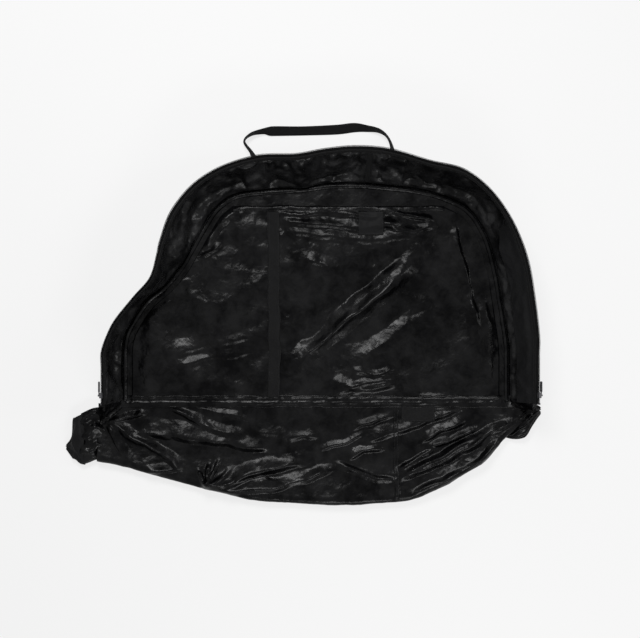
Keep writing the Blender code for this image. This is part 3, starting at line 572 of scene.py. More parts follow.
# %% Matte nylon
def make_matte_nylon():
    """The outer side: plain weave with a slight sheen and long soft creases."""
    made, tree, shader = new_finish("matte_nylon", 0.6, Specular_IOR_Level=0.09, Sheen_Weight=0.010,
                                    Sheen_Roughness=0.5)
    place, flat = place_on(tree), place_on(tree, "UV")
    weave = node(tree, "ShaderNodeMath", {0: ribs(tree, flat, 180.0, "X"),
                                          1: ribs(tree, flat, 180.0, "Y")}, operation="MULTIPLY")
    net = node(tree, "ShaderNodeTexVoronoi", {"Vector": place, "Scale": 38.0},
               feature="F1").outputs["Distance"]
    over = raised(tree, speckle(tree, place, 30.0, 2.0), 0.0040, 0.8)
    over = raised(tree, net, 0.0016, 0.6, over)
    over = raised(tree, speckle(tree, place, 120.0, 3.0), 0.0004, 0.6, over)
    over = raised(tree, weave.outputs["Value"], 0.0001, 0.8, over)
    tree.links.new(over, shader.inputs["Normal"])
    patches = speckle(tree, place, 14.0, 4.0)
    tree.links.new(span(tree, patches, 0.52, 0.70), shader.inputs["Roughness"])
    colour = tones(tree, patches, (0.0024, 0.0024, 0.0027), (0.0056, 0.0057, 0.0061))
    tree.links.new(colour, shader.inputs["Base Color"])
    return made


# %% [markdown]
# ## Tapes and webbing
#
# A woven tape has rounded ribs in one direction and finer yarns that cross them. Both follow the
# flat cut, so that the ribs turn with the tape round the rim and along the handle.


# %% Ribbed weaves
YARNS_TO_A_RIB = 2.6


def make_ribbed(name, scale, dark, pale, height, roughness=0.62):
    """A tape or webbing: ribs in one direction, yarns crossing them, and paler crests."""
    made, tree, shader = new_finish(name, roughness, Specular_IOR_Level=0.10, Sheen_Weight=0.02,
                                    Sheen_Roughness=0.4)
    place, flat = place_on(tree), place_on(tree, "UV")
    rib = ribs(tree, flat, scale, "X")
    yarn = ribs(tree, flat, scale * YARNS_TO_A_RIB, "Y")
    both = node(tree, "ShaderNodeMath", {0: rib, 1: yarn}, operation="ADD").outputs["Value"]
    over = raised(tree, both, height, 0.9)
    over = raised(tree, speckle(tree, place, 60.0, 3.0), 0.0012, 0.7, over)
    tree.links.new(over, shader.inputs["Normal"])
    # Colour and roughness rise on the ribs' crests, more so where a noise is high.
    rib_crest_mask = node(tree, "ShaderNodeMath", {0: rib, 1: speckle(tree, place, 35.0, 4.0)},
                operation="MULTIPLY").outputs["Value"]
    tree.links.new(tones(tree, rib_crest_mask, dark, pale), shader.inputs["Base Color"])
    tree.links.new(span(tree, rib_crest_mask, roughness - 0.08, roughness + 0.1), shader.inputs["Roughness"])
    return made


# %% [markdown]
# ## Coil and thread
#
# The zip's coil is moulded nylon, and the thread is a little paler than what it holds. Both are
# so fine that two near tones in a grain are enough.


# %% Coil and thread
def make_plain(name, dark, pale, roughness, scale):
    """A thread or moulded nylon: two near tones in a fine grain."""
    made, tree, shader = new_finish(name, roughness, Specular_IOR_Level=0.2)
    place = place_on(tree)
    grain = speckle(tree, place, scale, 3.0)
    tree.links.new(tones(tree, grain, dark, pale), shader.inputs["Base Color"])
    tree.links.new(span(tree, grain, roughness - 0.08, roughness + 0.08),
                   shader.inputs["Roughness"])
    tree.links.new(raised(tree, grain, 0.0001, 0.4), shader.inputs["Normal"])
    return made


GLOSSY = make_glossy_nylon("glossy_nylon", (0.0006, 0.0006, 0.0008), (0.0030, 0.0030, 0.0033))
# The walls' paler greys are painted light: the same glossy nylon, lightened where the walls catch
# too little lamp light.
WALL_NYLON_PAINTED_LIGHT = make_glossy_nylon("wall_nylon_painted_light", (0.0040, 0.0040, 0.0043), (0.0140, 0.0140, 0.0146))
MATTE = make_matte_nylon()
TAPE = make_ribbed("ribbed_tape", 260.0, (0.0022, 0.0022, 0.0024), (0.0062, 0.0062, 0.0066),
                   0.00012)
WEBBING = make_ribbed("webbing", 150.0, (0.0036, 0.0036, 0.0039), (0.0105, 0.0105, 0.0111),
                      0.00035, 0.7)
COIL = make_plain("coil_nylon", (0.0045, 0.0045, 0.0048), (0.0105, 0.0105, 0.0110), 0.48, 300.0)
THREAD = make_plain("thread", (0.0085, 0.0085, 0.0090), (0.0190, 0.0190, 0.0197), 0.6, 900.0)
print("finishes", [m.name for m in (GLOSSY, WALL_NYLON_PAINTED_LIGHT, MATTE, TAPE, WEBBING, COIL, THREAD)])

# %% [markdown]
# ## The two side walls
#
# The side cloth stands round the floor, leaning out, and slumps in shallow buckles between its
# two seams. The simulation holds the top and the foot and lets the middle go. Where tape or the
# smooth flap lies on it, the cloth is held too, so the layers stay in order.

# %% Where the walls are held
WALL_UPS = np.linspace(0, GUSSET_WIDTH, 13)
JOINT_AT = at_x(0.162)
FLAP_AT = SEAM_LENGTH * 0.765


def held_on_wall(at, up):
    """1 where the wall's cloth is sewn or covered, and 0 where it is free."""
    flap_low = TAPE_LOW - FLAP_WIDTH
    seams = np.maximum(1 - ease(up, 0.0, 0.010), ease(up, GUSSET_WIDTH - 0.014, TAPE_LOW - 0.002))
    joint = 1 - ease(np.abs(at - JOINT_AT), 0.009, 0.022)
    flap = ease(at, FLAP_AT - 0.012, FLAP_AT) * ease(up, flap_low - 0.012, flap_low)
    ends = 1 - ease(np.minimum(at, SEAM_LENGTH - at), 0.002, 0.014)
    return np.clip(np.maximum.reduce([seams, joint, flap, ends]), 0, 1)


sample = held_on_wall(np.full(len(WALL_UPS), SEAM_LENGTH / 2), WALL_UPS)
print("held up the wall, half way along:", [round(float(share), 2) for share in sample])

# %% [markdown]
# ## How a wall gets its shape
#
# The simulated buckles are kept shallow. Then the cloth slumps in or out between its seams, a
# ruffle runs along under the zip, where the tape gathers the cloth, and crinkles go over all of
# it. Last, the cloth is kept from coming out through the handle's patches, and away from them it
# sinks inwards in soft dents.

# %% Side walls
WALL_FOOT, WALL_STATIONS = 0.0070, (106, 90)
WALL_SLACK, WALL_BENDING, DEEPEST_BUCKLE = 0.05, 1.0, 0.012
WALL_CRINKLES = ((0.075, 0.0110), (0.034, 0.0034), (0.015, 0.0008))
RUFFLE_PITCH, RUFFLE_UP, RUFFLE_REACH = 0.0045, 0.090, 0.016
BY_PATCH, PAST_PATCH = 0.022, 0.060
OUT_BY_PATCH, OUT_ELSEWHERE, DENT_DEPTH, DENT_SIZE = 0.0016, 0.05, 0.004, 0.028


def wall_shift(at, up, points, rest, free, seed):
    """How far the cloth goes off the plain wall in slumps and in the ruffle under the zip."""
    slack = free * np.sin(np.pi * np.clip(up / GUSSET_WIDTH, 0, 1))
    slump = slack * (0.003 + 0.010 * swell(rest, 0.085, seed + 2))
    ruffle = np.sin(at / RUFFLE_PITCH + 9 * swell(points, 0.07, seed))
    ruffle *= 0.0010 + 0.0016 * swell(points, 0.11, seed + 4)
    ruffle *= np.exp(-(((up - RUFFLE_UP) / RUFFLE_REACH) ** 2)) * free
    return slump + ruffle


def wall_cloth(name, at, seed):
    """One length of side cloth: buckled, slumped, crinkled and kept clear of what is sewn on."""
    points, cut = wall_grid(at, WALL_UPS, 0.0)
    points[:, 0, 2] = WALL_FOOT
    # The inner face takes the walls' paler nylon, whose lighter colour is painted light.
    piece = grid_piece(name, points, cut, WALL_NYLON_PAINTED_LIGHT, MATTE)
    held = held_on_wall(cut[..., 0].ravel(), cut[..., 1].ravel())
    buckle(piece, held > 0.5, WALL_SLACK, WALL_BENDING)
    refine(piece, 2)
    along, up = flat_places(piece).T
    free = 1 - held_on_wall(along, up)
    points, rest = places(piece), on_wall(along, up, 0.0)
    facing = on_wall(along, up, 1.0) - rest
    moved = points - rest
    far = np.linalg.norm(moved, axis=1, keepdims=True)
    points = rest + moved * np.minimum(1, DEEPEST_BUCKLE / np.maximum(far, 1e-9))
    shift = wall_shift(along, up, points, rest, free, seed)
    put(piece, points + facing * shift[:, None])
    crinkle(piece, WALL_CRINKLES, seed, free)
    points = places(piece)
    out = ((points - rest) * facing).sum(1)
    to_patch = np.min([np.abs(along - place) for place in HANDLE_AT], axis=0)
    most = OUT_BY_PATCH + OUT_ELSEWHERE * ease(to_patch, BY_PATCH, PAST_PATCH)
    dent = DENT_DEPTH * (1 + 1.5 * swell(rest, DENT_SIZE, seed + 9)) * free
    dent *= 1 - ease(to_patch, BY_PATCH, PAST_PATCH)
    put(piece, points - facing * (np.maximum(out - most, 0) + dent)[:, None])
    return thicken(piece, 0.0006, 1.0, 1)


left_at = np.linspace(0, JOINT_AT, WALL_STATIONS[0])
right_at = np.linspace(JOINT_AT, SEAM_LENGTH, WALL_STATIONS[1])
gusset_left_cloth = wall_cloth("gusset_left_cloth", left_at, 11)
gusset_right_cloth = wall_cloth("gusset_right_cloth", right_at, 23)
dress(gusset_left_cloth, "back_half", "glossy_cloth", "gusset_left",
      flat=(GUSSET_WIDTH, JOINT_AT), held="hung", rests_on=["back_zip_tape"])
dress(gusset_right_cloth, "back_half", "glossy_cloth", "gusset_right",
      flat=(GUSSET_WIDTH, SEAM_LENGTH - JOINT_AT), held="hung", rests_on=["back_zip_tape"])

# %% [markdown]
# ## The tray's floor
#
# The rear panel is the bag's big outer panel, so it is matt below and glossy above. It lies flat
# under the inner sleeve and only shows round its border. Its grid runs in columns from the hinge
# to the floor seam, so that its edge is the seam's own curve. It may only rise where the sleeve
# doesn't cover it.

# %% Floor cloth
POCKET_TOP = 0.565 * HALF_DEPTH
FLOOR_Z, FLOOR_COLUMNS, FLOOR_ROWS = 0.0082, 150, 84
FLOOR_CRINKLES = ((0.070, 0.0020), (0.028, 0.0014), (0.012, 0.0007))
FLOOR_LOWEST, FLOOR_HIGHEST, BARE_RISE = 0.0074, 0.0094, 0.0030
floor_x = np.linspace(SEAM[:, 0].min() + 0.0005, SEAM[:, 0].max() - 0.0005, FLOOR_COLUMNS)
order = np.argsort(SEAM[:, 0] + SEAM[:, 1] * 1e-6 * np.sign(-SEAM_OUT[:, 0]))
floor_end = np.interp(floor_x, SEAM[order, 0], SEAM[order, 1])
share = np.linspace(0, 1, FLOOR_ROWS)[None, :]
floor_y = (BASE_Y + GAP) * (1 - share) + floor_end[:, None] * share
points = np.stack(np.broadcast_arrays(floor_x[:, None], floor_y, FLOOR_Z), -1)
back_panel_cloth = grid_piece("back_panel_cloth", points, points[..., :2], GLOSSY, MATTE)
crinkle(back_panel_cloth, FLOOR_CRINKLES, 31)
points = places(back_panel_cloth)
bare = ease(points[:, 1], POCKET_TOP - 0.020, POCKET_TOP)
points[:, 2] = np.clip(points[:, 2], FLOOR_LOWEST, FLOOR_HIGHEST + BARE_RISE * bare)
put(back_panel_cloth, points)
thicken(back_panel_cloth, 0.0006, -1.0, 1)
dress(back_panel_cloth, "back_half", "matte_cloth", "back_panel",
      flat=(0.99, 0.562), area=0.488, held="laid")

# %% [markdown]
# ## The inner sleeve
#
# A flat sleeve is sewn over the floor at its front and sides and open along its top edge. The
# loose cloth is slack. First it is simulated with its four edges and the strap's line held,
# which gives it wide shallow billows.

# %% Sleeve cloth
POCKET_INSET, POCKET_FRONT = 0.028, BASE_Y + 0.014
STRAP_X = -0.125 * HALF_LENGTH
SLEEVE_SEWN, SLEEVE_RISE = 0.0100, 0.0055
SLEEVE_SLACK, SLEEVE_BENDING = 0.030, 2.0
inset = SEAM[:, :2] - SEAM_OUT[:, :2] * POCKET_INSET
crown = int(np.argmax(inset[:, 1]))
sleeve_y = np.linspace(POCKET_FRONT, POCKET_TOP, 37)
sleeve_left = np.interp(sleeve_y, inset[:crown, 1], inset[:crown, 0])
sleeve_right = np.interp(sleeve_y, inset[crown:, 1][::-1], inset[crown:, 0][::-1])
across = np.linspace(0, 1, 70)[:, None]
sleeve_x = sleeve_left * (1 - across) + sleeve_right * across
side = np.minimum(sleeve_x - sleeve_left, sleeve_right - sleeve_x)
rise = ease(np.minimum(side, sleeve_y - POCKET_FRONT), 0.0, 0.030)
sleeve_z = SLEEVE_SEWN + SLEEVE_RISE * rise
points = np.stack(np.broadcast_arrays(sleeve_x, sleeve_y, sleeve_z), -1)
pocket_cloth = grid_piece("pocket_cloth", points, points[..., :2], GLOSSY)
held = np.zeros(sleeve_x.shape)
held[[0, -1]] = held[:, [0, -1]] = 1
held[np.abs(sleeve_x - STRAP_X) < 0.008] = 1
buckle(pocket_cloth, held.ravel(), SLEEVE_SLACK, SLEEVE_BENDING)
refine(pocket_cloth, 2)
print("sleeve", len(pocket_cloth.data.vertices), "points after the simulation")

# %% [markdown]
# ## The sleeve's folds
#
# One long diagonal hump runs over the sleeve where something pushed it up, and small hard
# crumples lie along the mouth. Each row below is a fold's line in millimetres, its height, its
# half width and how uneven its two flanks are. The folds fade out at the front seam and get
# lower by the mouth and under the strap.

# %% Folds of the sleeve
SLEEVE_FOLDS = (
    ([(-22, -131), (83, -42), (187, 42), (312, 159)], 15, 36, 0.25),
    ([(-1, -113), (88, -34), (175, 32), (241, 73)], 7, 13, 0.3),
    ([(-34, -93), (68, 1), (175, 83), (284, 180)], -4, 16, 0),
    ([(-65, 233), (42, 223), (149, 215), (256, 233)], 8, 14, 0.4),
    ([(-78, 254), (1, 251), (80, 254), (190, 244)], 6, 10, 0.35),
    ([(-52, 208), (47, 195), (170, 187), (297, 193)], 6, 18, 0.35),
    ([(-96, 264), (-50, 274), (22, 266)], 7, 9, 0.3),
    ([(-96, 249), (-70, 223), (-55, 187)], 6, 9, 0.3),
    ([(195, 261), (256, 249), (328, 233)], 7, 9, 0.4),
    ([(208, 223), (277, 210), (348, 218)], 5, 11, 0.4),
    ([(-249, 172), (-210, 228), (-167, 264)], 8, 15, 0.4),
    ([(-289, 131), (-241, 152), (-208, 177)], 5, 10, 0.3),
    ([(-325, -98), (-226, -78), (-124, -55)], 5, 22, 0.45),
    ([(-340, -139), (-226, -113), (-116, -98)], 4, 16, 0.4),
    ([(-300, 60), (-244, 22), (-162, 14)], 4, 30, 0.2),
    ([(9, 131), (52, 126), (83, 96), (96, 65)], 6, 16, 0.4),
    ([(75, -167), (134, -193), (226, -182)], 9, 14, 0.35),
    ([(106, -200), (159, -172), (221, -164)], 8, 12, 0.3),
    ([(124, -144), (175, -154), (236, -144)], 6, 10, 0.3),
    ([(149, -121), (246, -40), (348, 9)], 5, 28, 0.3),
    ([(231, 60), (323, 19), (389, -60)], 4, 20, 0.3),
    ([(379, 231), (399, 149), (427, 60), (442, -57)], 7, 17, -0.4),
    ([(251, -29), (300, -111), (317, -195)], 3, 24, 0.2),
)
SLEEVE_CRINKLES = ((0.095, 0.0050), (0.036, 0.0018), (0.014, 0.0005))
SLEEVE_Z, BILLOW_SHARE = SLEEVE_SEWN + SLEEVE_RISE, 0.45
BILLOW_LOWEST, BILLOW_HIGHEST, SLEEVE_LOWEST, OFF_SEAM = -0.0052, 0.006, 0.0104, 0.0018
points = places(pocket_cloth)
billow = (points[:, 2] - SLEEVE_Z) * BILLOW_SHARE
points[:, 2] = SLEEVE_Z + np.clip(billow, BILLOW_LOWEST, BILLOW_HIGHEST)
edge = ease(points[:, 1] - POCKET_FRONT, 0.0, 0.014)
edge *= 0.35 + 0.65 * ease(POCKET_TOP - points[:, 1], 0.0, 0.030)
near_strap = 1 - ease(np.abs(points[:, 0] - STRAP_X), 0.014, 0.030)
free = edge * (1 - 0.75 * near_strap)
points[:, 2] += folds(points, SLEEVE_FOLDS, 43) * free
put(pocket_cloth, points)
crinkle(pocket_cloth, SLEEVE_CRINKLES, 41, 0.3 + 0.7 * free)
points = places(pocket_cloth)
points[:, 2] = np.maximum(points[:, 2], SLEEVE_LOWEST + OFF_SEAM * edge)
put(pocket_cloth, points)
thicken(pocket_cloth, 0.0005, -1.0)
dress(pocket_cloth, "back_half", "glossy_cloth", "pocket_panel",
      flat=(0.94, 0.49), area=0.405, held="laid", rests_on=["back_panel_cloth"])

# %% [markdown]
# ## The base and the roll where it turns under
#
# In front of the tray the base lies on the folded front half, and its far edge turns under in a
# slack roll. Each column of the grid starts at the hinge, runs out over the base, climbs to the
# roll and goes round it.

# %% Base cloth
ROLL_RADIUS, ROLL_HEIGHT = 0.014, 0.0143
ROLL_ROWS = (
    (0.560, -0.266), (0.532, -0.286), (0.497, -0.312), (0.482, -0.332), (0.455, -0.362),
    (0.388, -0.404), (0.324, -0.440), (0.257, -0.462), (0.119, -0.472), (-0.009, -0.468),
    (-0.118, -0.461), (-0.237, -0.434), (-0.303, -0.418), (-0.405, -0.388), (-0.470, -0.371),
    (-0.521, -0.362),
)
HINGE = BASE_Y - 0.0020
BASE_ROWS, CLIMB, BASE_LOW = 22, 0.100, 0.0093
ROLL_TURNS = np.linspace(90, -125, 7)[1:] * DEGREE
roll, roll_at = spaced(at_ground(smooth_run(ROLL_ROWS, 6)), 0.0125)
columns = []
for place, away in zip(roll, left_of(roll)):
    y = np.linspace(HINGE, place[1], BASE_ROWS)
    climb = 1 - np.clip((y - place[1]) / CLIMB, 0, 1)
    height = BASE_LOW + (ROLL_HEIGHT + ROLL_RADIUS - BASE_LOW) * climb**1.5
    flat_part = np.stack([np.full(BASE_ROWS, place[0]), y, height], 1)
    out = np.cos(ROLL_TURNS)[:, None] * away * ROLL_RADIUS
    round_part = place + out + UP * (ROLL_HEIGHT + np.sin(ROLL_TURNS) * ROLL_RADIUS)[:, None]
    columns.append(np.concatenate([flat_part, round_part]))
gone = np.array([distance_along(column) for column in columns])
cut = np.stack([np.broadcast_to(roll_at[:, None], gone.shape), gone], -1)
base_cloth = grid_piece("base_cloth", np.array(columns), cut, GLOSSY)
refine(base_cloth, 2)
print("base's front edge", round(roll_at[-1], 3), "m long")

# %% [markdown]
# ## The base's folds
#
# The cloth is pulled into long folds. A fan of them spreads from the left end, a star of short
# ones stands where the lower edge turns, and on the right they run along the base between its
# bunched end and the cross seam. They are listed like the sleeve's, and they fade out at
# the hinge and on the underside of the roll.

# %% Folds of the base
BASE_FOLDS = (
    ([(-422, -302), (-366, -305), (-266, -321), (-152, -335), (-73, -346)], 12, 26, 0.5),
    ([(-486, -274), (-437, -317), (-402, -330), (-360, -357), (-307, -397)], 9, 15, 0.35),
    ([(-397, -400), (-356, -397), (-305, -394)], 6, 11, 0.4),
    ([(-246, -440), (-266, -399)], 6, 8, 0.2),
    ([(-244, -440), (-241, -379)], 7, 8, -0.2),
    ([(-241, -440), (-213, -371)], 7, 8, 0.2),
    ([(-238, -440), (-182, -391)], 6, 8, -0.2),
    ([(-246, -440), (-193, -429), (-139, -410), (-70, -390), (22, -374)], 11, 22, 0.4),
    ([(-233, -449), (-139, -448), (-57, -437), (-9, -425), (42, -404), (88, -389)], 9, 18, 0.35),
    ([(88, -379), (142, -404), (187, -416), (233, -422)], 9, 11, -0.3),
    ([(236, -421), (319, -391), (376, -363), (460, -317)], 12, 19, 0.35),
    ([(254, -409), (348, -361), (450, -305)], 5, 9, 0.2),
    ([(233, -422), (234, -445), (233, -473)], 4, 7, 0),
    ([(116, -368), (154, -349), (208, -340)], 9, 13, 0.4),
    ([(159, -328), (209, -311), (275, -289), (328, -266), (417, -236)], 12, 19, 0.45),
    ([(300, -328), (346, -298), (412, -272)], 10, 13, 0.4),
    ([(315, -338), (374, -320), (440, -291)], 7, 10, 0.4),
    ([(124, -295), (187, -272), (236, -259)], 7, 12, 0.4),
    ([(37, -346), (106, -329), (154, -307)], 6, 10, 0.4),
    ([(-371, -223), (-302, -255), (-249, -287), (-172, -312)], 8, 15, 0.4),
    ([(-346, -218), (-228, -247), (-136, -274)], 6, 12, 0.4),
    ([(-488, -272), (-448, -265), (-399, -254)], 9, 11, 0.3),
    ([(-493, -282), (-470, -333), (-432, -379)], 7, 12, 0.3),
    ([(-136, -297), (-34, -315), (37, -307)], 6, 16, 0.3),
    ([(272, -455), (348, -425), (445, -374), (496, -323)], 7, 14, -0.3),
    ([(419, -338), (470, -302), (516, -282)], 8, 12, 0.3),
    ([(241, -399), (297, -358), (338, -338)], 6, 10, -0.3),
)
BASE_CRINKLES = ((0.120, 0.0050), (0.042, 0.0020), (0.015, 0.0005))
FOLD_GAIN, BASE_HIGHEST, BASE_LOWEST, ROLL_LOWEST = 1.3, 0.047, 0.0078, 0.0009
points = places(base_cloth)
on_top = ease(points[:, 2], 0.004, 0.012) * ease(HINGE - points[:, 1], 0.004, 0.022)
points[:, 2] += folds(points, BASE_FOLDS, 57) * on_top * FOLD_GAIN
put(base_cloth, points)
crinkle(base_cloth, BASE_CRINKLES, 53, 0.10 + 0.90 * on_top)
points, cut = places(base_cloth), flat_places(base_cloth)
upper = cut[:, 1] < np.interp(cut[:, 0], roll_at, HINGE - roll[:, 1])
points[:, 2] = np.clip(points[:, 2], np.where(upper, BASE_LOWEST, ROLL_LOWEST), BASE_HIGHEST)
put(base_cloth, points)
thicken(base_cloth, 0.0005, -1.0)
dress(base_cloth, "bag_base", "glossy_cloth", "base_panel", "front_fold",
      flat=(1.30, 0.31), area=0.27, held="folded", rests_on=["front_panel_cloth"])

# %% [markdown]
# ## Tapes, straps and patches
#
# What is sewn on a cloth follows it. A flat strip is laid over the finished cloth by casting a
# ray straight down on it at each of its points, and then it is eased a little, because webbing
# is stiffer than what it lies on.


# %% Laid strips
NO_HIT = 0.012


def surface_of(*pieces):
    """A tree of the pieces' faces, for rays."""
    corners, faces = [], []
    for piece in pieces:
        start = len(corners)
        corners += [v.co.copy() for v in piece.data.vertices]
        faces += [[start + i for i in face.vertices] for face in piece.data.polygons]
    return BVHTree.FromPolygons(corners, faces)


def height_on(tree, points):
    """The height of the surface under each point."""
    heights = []
    for x, y in points:
        hit = tree.ray_cast(Vector((x, y, 0.4)), Vector((0, 0, -1)))[0]
        heights.append(NO_HIT if hit is None else hit.z)
    return np.array(heights)


def eased(heights, rounds):
    """A grid of heights, made smoother without dipping under what it lies on."""
    found = heights.copy()
    for _ in range(rounds):
        padded = np.pad(found, 1, mode="edge")
        mean = (padded[:-2, 1:-1] + padded[2:, 1:-1] + padded[1:-1, :-2] + padded[1:-1, 2:]) / 4
        found = np.maximum(heights, (found + mean) / 2)
    return found


def laid(name, plan, tree, lift, thick, finish, rounds=12, layers=()):
    """A strip with this plan grid, laid on a surface and eased this many rounds."""
    heights = height_on(tree, plan.reshape(-1, 2)).reshape(plan.shape[:2])
    points = np.concatenate([plan, (eased(heights, rounds) + lift)[..., None]], -1)
    steps = [np.linalg.norm(np.diff(points, axis=k), axis=2).mean(1 - k) for k in (0, 1)]
    cut = grid_of(*[np.append(0, np.cumsum(step)) for step in steps])
    piece = grid_piece(name, points, cut, finish)
    crinkle(piece, layers, 91)
    return thicken(piece, thick, 1.0)


def box_plan(x_range, y_range, step=0.003, wave=0.0):
    """A plan grid over a rectangle whose long sides may wander a little."""
    counts = [max(2, int((high - low) / step) + 1) for low, high in (x_range, y_range)]
    plan = grid_of(np.linspace(*x_range, counts[0]), np.linspace(*y_range, counts[1]))
    length_way = int(y_range[1] - y_range[0] < x_range[1] - x_range[0])
    level = at_ground(plan.reshape(-1, 2))
    level[:, length_way] = 0
    plan[..., length_way] += wave * swell(level, 0.05, 37).reshape(plan.shape[:2])
    return plan


# %% [markdown]
# ## What lies on the sleeve
#
# The mouth has a narrow hem of the same glossy cloth. A strap of plain tape runs down left of the
# middle and parts the sleeve into two pockets, and a small blank square of the outer cloth sits by
# the mouth. The hem and the strap wander a little sideways, as they do on soft cloth.

# %% What lies on the sleeve
LAID_LIFT, HEM_WIDTH, STRAP_HALF = 0.0004, 0.012, 0.015
MOUTH = (sleeve_left[-1], sleeve_right[-1])
EDGE = POCKET_TOP - HEM_WIDTH
SQUARE_X, SQUARE_Y = (0.232 * HALF_LENGTH, 0.338 * HALF_LENGTH), (EDGE - 0.0605, EDGE - 0.0005)
sleeve_tree = surface_of(pocket_cloth)
hem = box_plan(MOUTH, (EDGE, POCKET_TOP), 0.003, 0.005)
pocket_binding = laid("pocket_binding", hem, sleeve_tree, LAID_LIFT, 0.0007, GLOSSY, 3,
                      ((0.020, 0.0008),))
dress(pocket_binding, "back_half", "webbing", "pocket_edge_binding",
      flat=(HEM_WIDTH, MOUTH[1] - MOUTH[0]), held="laid", rests_on=["pocket_cloth"])
strap = box_plan((STRAP_X - STRAP_HALF, STRAP_X + STRAP_HALF), (POCKET_FRONT, EDGE - 0.0005),
                 0.003, 0.0055)
centre_strap = laid("centre_strap", strap, sleeve_tree, LAID_LIFT, 0.0012, TAPE, 5,
                    ((0.040, 0.0016), (0.016, 0.0006)))
dress(centre_strap, "back_half", "webbing", "centre_webbing",
      flat=(0.030, 0.47), held="laid", rests_on=["pocket_cloth"])
bare_patch = laid("bare_patch", box_plan(SQUARE_X, SQUARE_Y), sleeve_tree, LAID_LIFT, 0.0007,
                  MATTE, 6, ((0.022, 0.0012),))
dress(bare_patch, "back_half", "matte_cloth", "blank_patch",
      flat=(0.0636, 0.060), held="laid", rests_on=["pocket_cloth"])

# %% [markdown]
# ## What lies on the floor and the base
#
# The seam allowance between floor and wall is bound and stands up inside as a soft ridge, so its
# strip gets a height across its width that swells and sinks along it. The base has a bound cross
# seam and a plain tab of tape near the hinge.

# %% What lies on the floor and the base
FLOOR_BINDING_IN = np.linspace(0.003, 0.015, 7)
STANDING = np.array([0.0, 0.0016, 0.0036, 0.0042, 0.0034, 0.0014, 0.0])
CROSS_SEAM_X, CROSS_SEAM_HALF, CROSS_SEAM_FRONT = 0.392 * HALF_LENGTH, 0.006, -0.466
TAB_X = (0.415 * HALF_LENGTH, 0.555 * HALF_LENGTH)
TAB_Y = (BASE_Y - 0.048, BASE_Y - 0.008)
band = SEAM[:, None, :2] - SEAM_OUT[:, None, :2] * FLOOR_BINDING_IN[None, :, None]
wander = 0.75 + 0.6 * swell(SEAM[::-1, :3], 0.05, 19)
floor_binding = laid("floor_binding", band[::-1], surface_of(back_panel_cloth),
                     GAP + wander[:, None] * STANDING, 0.0007, GLOSSY, 12, ((0.012, 0.0006),))
dress(floor_binding, "back_half", "webbing", "floor_seam_binding",
      flat=(0.012, SEAM_LENGTH), held="laid", rests_on=["back_panel_cloth"])
base_tree = surface_of(base_cloth)
run = box_plan((CROSS_SEAM_X - CROSS_SEAM_HALF, CROSS_SEAM_X + CROSS_SEAM_HALF),
               (CROSS_SEAM_FRONT, BASE_Y - 0.010), 0.003, 0.003)
base_binding = laid("base_binding", run, base_tree, LAID_LIFT, 0.0006, GLOSSY, 2)
dress(base_binding, "bag_base", "webbing", "base_seam_binding",
      flat=(0.012, 0.24), held="laid", rests_on=["base_cloth"])
tab = laid("tab", box_plan(TAB_X, TAB_Y), base_tree, 0.0006, 0.0010, TAPE, 3, ((0.024, 0.0012),))
dress(tab, "bag_base", "webbing", "base_tab",
      flat=(0.040, 0.084), held="laid", rests_on=["base_cloth"])

# %% [markdown]
# ## The binding over the hinge
#
# The tray's floor and the base are cut apart and sewn together along the line on which the base
# turns. A strip of glossy cloth covers the two raw edges and lies rumpled over the ends of the
# folds.

# %% Hinge binding
HINGE_X, HINGE_FRONT, HINGE_BACK = (-0.474, 0.536), 0.0135, 0.0170


def bends_at_hinge(piece, back, front, **sheet):
    """Bakes the piece's place into its mesh; back, front and the cut are not used."""
    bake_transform(piece)
    print(piece.name, len(piece.data.polygons), "faces, bends at the hinge")
    return piece


run = box_plan(HINGE_X, (BASE_Y - HINGE_FRONT, BASE_Y + HINGE_BACK), 0.0025, 0.004)
hinge_binding = laid("hinge_binding", run, surface_of(back_panel_cloth, base_cloth, pocket_cloth),
                     LAID_LIFT, 0.0004, GLOSSY, 16, ((0.048, 0.0034), (0.018, 0.0014)))
bends_at_hinge(hinge_binding, 0.009, 0.009, flat=(HINGE_FRONT + HINGE_BACK, 1.010), held="laid",
               rests_on=["back_panel_cloth"])

# %% [markdown]
# ## The corner webs
#
# The walls' front ends aren't open: they run on into the base's ends as a slack web of cloth,
# which lets the base turn up. Each web hangs from the wall's end edge and falls to the base.


# %% Corner webs
WEB_REACH, WEB_SLUMP, WEB_LOWEST, WEB_FROM_END = 0.075, 0.9, 0.0092, 0.006


def corner_web(name, at, foot_end, rim_end, seed):
    """A web of cloth from the wall's end at this place to two points on the base."""
    up = np.linspace(0, 1, 40)[:, None]
    along = np.linspace(0, 1, 34)[None, :, None]
    start = on_wall(np.full(len(up), at), up[:, 0] * GUSSET_WIDTH, -0.0012)
    end = np.array(foot_end) * (1 - up) + np.array(rim_end) * up
    points = start[:, None] * (1 - along) + end[:, None] * along
    slump = (along * (1 - along))[..., 0] * WEB_SLUMP
    points[..., 2] -= (start[:, 2] - end[:, 2])[:, None] * slump
    cut = np.stack(np.broadcast_arrays(up * GUSSET_WIDTH, along[..., 0] * WEB_REACH), -1)
    piece = grid_piece(name, points, cut, GLOSSY)
    free = (ease(along, 0.0, 0.3) * ease(1 - along, 0.0, 0.15) + 0 * up[..., None]).ravel()
    crinkle(piece, ((0.050, 0.0120), (0.022, 0.0040), (0.010, 0.0010)), seed, free)
    points = places(piece)
    points[:, 2] = np.maximum(points[:, 2], WEB_LOWEST)
    put(piece, points)
    thicken(piece, 0.0006, 0.0)
    return bends_at_hinge(piece, 0.002, 0.030, flat=(GUSSET_WIDTH, WEB_REACH), area=0.0045,
                          held="hung", rests_on=["base_cloth"])


corner_web("web_left", WEB_FROM_END, (-0.462, -0.242, 0.0105), (-0.514, -0.284, 0.022), 101)
corner_web("web_right", SEAM_LENGTH - WEB_FROM_END, (0.525, -0.242, 0.0105),
           (0.580, -0.262, 0.030), 103)

